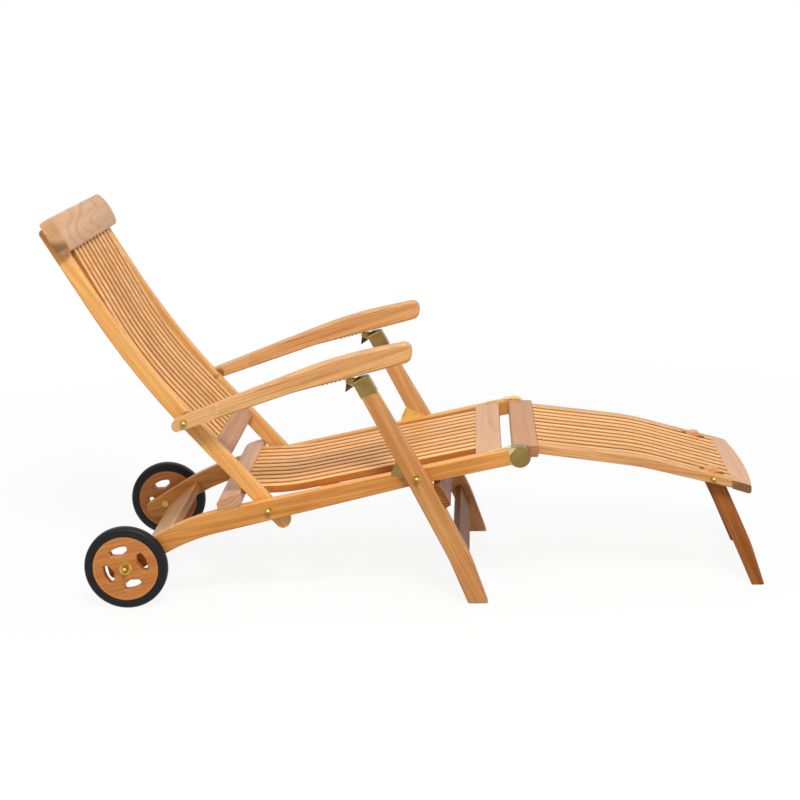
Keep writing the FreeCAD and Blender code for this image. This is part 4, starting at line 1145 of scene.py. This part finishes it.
@dataclass
class Footrest:
    """The hinged footrest with its folding legs."""

    fall_deg: float = -10.0
    leg_deg: float = -67.0
    slat_pitch: float = 0.0375
    nut: float = 0.006
    leg_tip: float = 0.283         # height of the slats where the legs come through

    def boards(self) -> list[Board]:
        """All the timber of the footrest.

        Returns:
            Its boards.
        """
        run = level(self.fall_deg)
        leg_run = level(self.leg_deg)
        return [
            Board("footrest_rail_left", HONEY, run, 22.4),
            Board("footrest_rail_right", HONEY, run, 23.5),
            Board("footrest_slats", SLAT, run, 70.0, self.slat_pitch, GAP_DARK),
            Board("footrest_edge_slat_left", SLAT, run, 24.7, gap_shade=GAP_DARK),
            Board("footrest_edge_slat_right", SLAT, run, 25.8, gap_shade=GAP_DARK),
            Board("footrest_first_board", CLAY, ACROSS, 26.2),
            Board("footrest_end_board", ROSE, ACROSS, 27.3, end_burn=0.9, burn_from=0.030),
            Board("footrest_batten", BROWN, ACROSS, 28.4),
            Board("foot_leg_left", CHESTNUT, leg_run, 29.5, tip=self.leg_tip),
            Board("foot_leg_right", CHESTNUT, leg_run, 30.6, tip=self.leg_tip),
            Board("foot_leg_stretcher", BROWN, ACROSS, 31.7),
        ]

    def build(self) -> None:
        """Dress the footrest."""
        for board in self.boards():
            board.dress()
        dress("foot_leg_bolts", GOLD_BRASS.material())
        nut_caps("foot_leg_bolts", "footrest_leg_fold", "footrest", self.nut)


@dataclass(frozen=True)
class Lamp:
    """A soft square lamp that looks at the middle of the chair."""

    name: str
    at: Vector
    size: float                    # length of its side
    power: float                   # in watts
    aim: Vector = field(default_factory=lambda: Vector((0.0, 0.0, 0.35)))

    def build(self) -> None:
        """Hang the lamp and turn it to the chair."""
        data = bpy.data.lights.new(self.name, "AREA")
        data.size = self.size
        data.energy = self.power
        lamp = bpy.data.objects.new(self.name, data)
        lamp.location = self.at
        lamp.rotation_euler = (self.aim - self.at).to_track_quat("-Z", "Y").to_euler()
        bpy.context.scene.collection.objects.link(lamp)


@dataclass
class Studio:
    """The camera, a pale floor and soft lamps, none of which is part of the chair."""

    camera_at: Vector = field(default_factory=lambda: Vector((0.1695, -4.2416, 1.3900)))
    yaw_deg: float = -2.694
    pitch_deg: float = 12.737
    roll_deg: float = -1.510
    focal_px: float = 1745.0
    picture_px: float = 800.0
    sensor_mm: float = 36.0
    floor_half: float = 30.0
    floor_pale: Colour = (0.90, 0.90, 0.90)
    floor_bounce: Colour = (0.48, 0.47, 0.45)   # what the floor throws back on the chair
    glow_near: float = 0.90        # share of plain white under the chair, full white beyond fade_to
    fade_from: float = 1.1         # from the middle of the chair
    fade_to: float = 3.2
    soft_light: float = 0.42       # from all round
    room_dim: float = 0.35         # what metal shows of the room in front of the chair
    room_behind: tuple[float, float] = (-0.5, 0.3)     # where the room turns white behind it
    room_above: tuple[float, float] = (0.25, 0.75)     # and above it
    lamps: tuple[Lamp, ...] = (
        Lamp("key", Vector((0.3, -3.0, 3.7)), 1.1, 134.0),
        Lamp("side", Vector((3.1, -2.3, 1.5)), 2.2, 24.0),
        Lamp("top", Vector((-0.3, 1.2, 4.0)), 2.5, 30.0),
        Lamp("fill", Vector((-2.6, -3.0, 1.8)), 2.0, 13.0),
    )

    def build(self) -> None:
        """Set up everything around the chair."""
        self._camera()
        self._floor()
        self._world()
        for lamp in self.lamps:
            lamp.build()
        bpy.context.scene.view_settings.view_transform = "Standard"

    def _camera(self) -> None:
        """Place the camera where the picture was taken from."""
        yaw, pitch, roll = (math.radians(a) for a in (self.yaw_deg, self.pitch_deg, self.roll_deg))
        flat = math.cos(pitch)
        ahead = Vector((math.sin(yaw) * flat, math.cos(yaw) * flat, -math.sin(pitch)))
        right = Vector((math.cos(yaw), -math.sin(yaw), 0.0))
        up = right.cross(ahead)
        turned_right = math.cos(roll) * right + math.sin(roll) * up
        turned_up = -math.sin(roll) * right + math.cos(roll) * up
        data = bpy.data.cameras.new("camera")
        data.sensor_width = self.sensor_mm
        data.lens = self.focal_px / self.picture_px * self.sensor_mm
        camera = bpy.data.objects.new("camera", data)
        axes = Matrix((turned_right, turned_up, -ahead)).transposed().to_4x4()
        camera.matrix_world = Matrix.Translation(self.camera_at) @ axes
        bpy.context.scene.collection.objects.link(camera)
        bpy.context.scene.camera = camera

    def _floor(self) -> None:
        """A plain pale floor that fades into the white behind it but keeps the chair's shadow."""
        mesh = bpy.data.meshes.new("floor")
        shape = bmesh.new()
        bmesh.ops.create_grid(shape, x_segments=1, y_segments=1, size=self.floor_half)
        shape.to_mesh(mesh)
        shape.free()
        floor = bpy.data.objects.new("floor", mesh)
        bpy.context.scene.collection.objects.link(floor)
        mesh.materials.append(self._floor_paint())

    def _floor_paint(self) -> Material:
        """Matt paint for shadows and bounced light, under a glow that fades to plain white.

        Returns:
            The floor's material.
        """
        material = bpy.data.materials.new("pale_floor")
        material.use_nodes = True
        n = Nodes(material.node_tree)
        seen = n.rays()
        paint = n.mix(seen["Is Diffuse Ray"], self.floor_pale, self.floor_bounce)
        matt = n.shade("BsdfDiffuse", Color=paint)
        glow = n.shade("Emission", Color=WHITE)
        place, _ = n.object_place()
        fade = n.between(n.vector("LENGTH", place), self.fade_from, self.fade_to, self.glow_near, 1.0)
        looked_at = n.math("MAXIMUM", seen["Is Camera Ray"], seen["Is Glossy Ray"])
        n.end("OutputMaterial", n.blend(n.times(looked_at, fade), matt, glow))
        return material

    def _world(self) -> None:
        """Soft light from all round, seen as white by the camera and in the metal."""
        world = bpy.data.worlds.new("studio")
        bpy.context.scene.world = world
        world.use_nodes = True
        n = Nodes(world.node_tree)
        seen = n.rays()
        soft = n.shade("Background", Color=WHITE, Strength=self.soft_light)
        room = n.shade("Background", Color=WHITE, Strength=self._room_light(n))
        white = n.shade("Background", Color=WHITE, Strength=1.0)
        mirrored = n.blend(seen["Is Glossy Ray"], soft, room)
        direct = n.math("MAXIMUM", seen["Is Camera Ray"], seen["Is Transmission Ray"])
        n.end("OutputWorld", n.blend(direct, mirrored, white))

    def _room_light(self, n: Nodes) -> Socket:
        """How bright the room looks in a reflection: white behind the chair and above, dim in front.

        Args:
            n: The world's nodes.

        Returns:
            The strength from dim to 1.
        """
        way = n.add("TexCoord").outputs["Generated"]
        _, depth, height = n.split(way)
        behind = n.between(depth, *self.room_behind, self.room_dim, 1.0)
        above = n.between(height, *self.room_above, self.room_dim, 1.0)
        return n.math("MAXIMUM", behind, above)


def main() -> None:
    """Build the chair's sub-assemblies in order, then the studio around them."""
    logging.basicConfig(level=logging.INFO, format="%(name)s: %(message)s")
    SeatFrame().build()
    Backrest().build()
    for side in Side:
        Arm(side).build()
    FrontLegs().build()
    for side in Side:
        Wheel(side).build()
    Footrest().build()
    Studio().build()


if __name__ == "__main__":
    main()
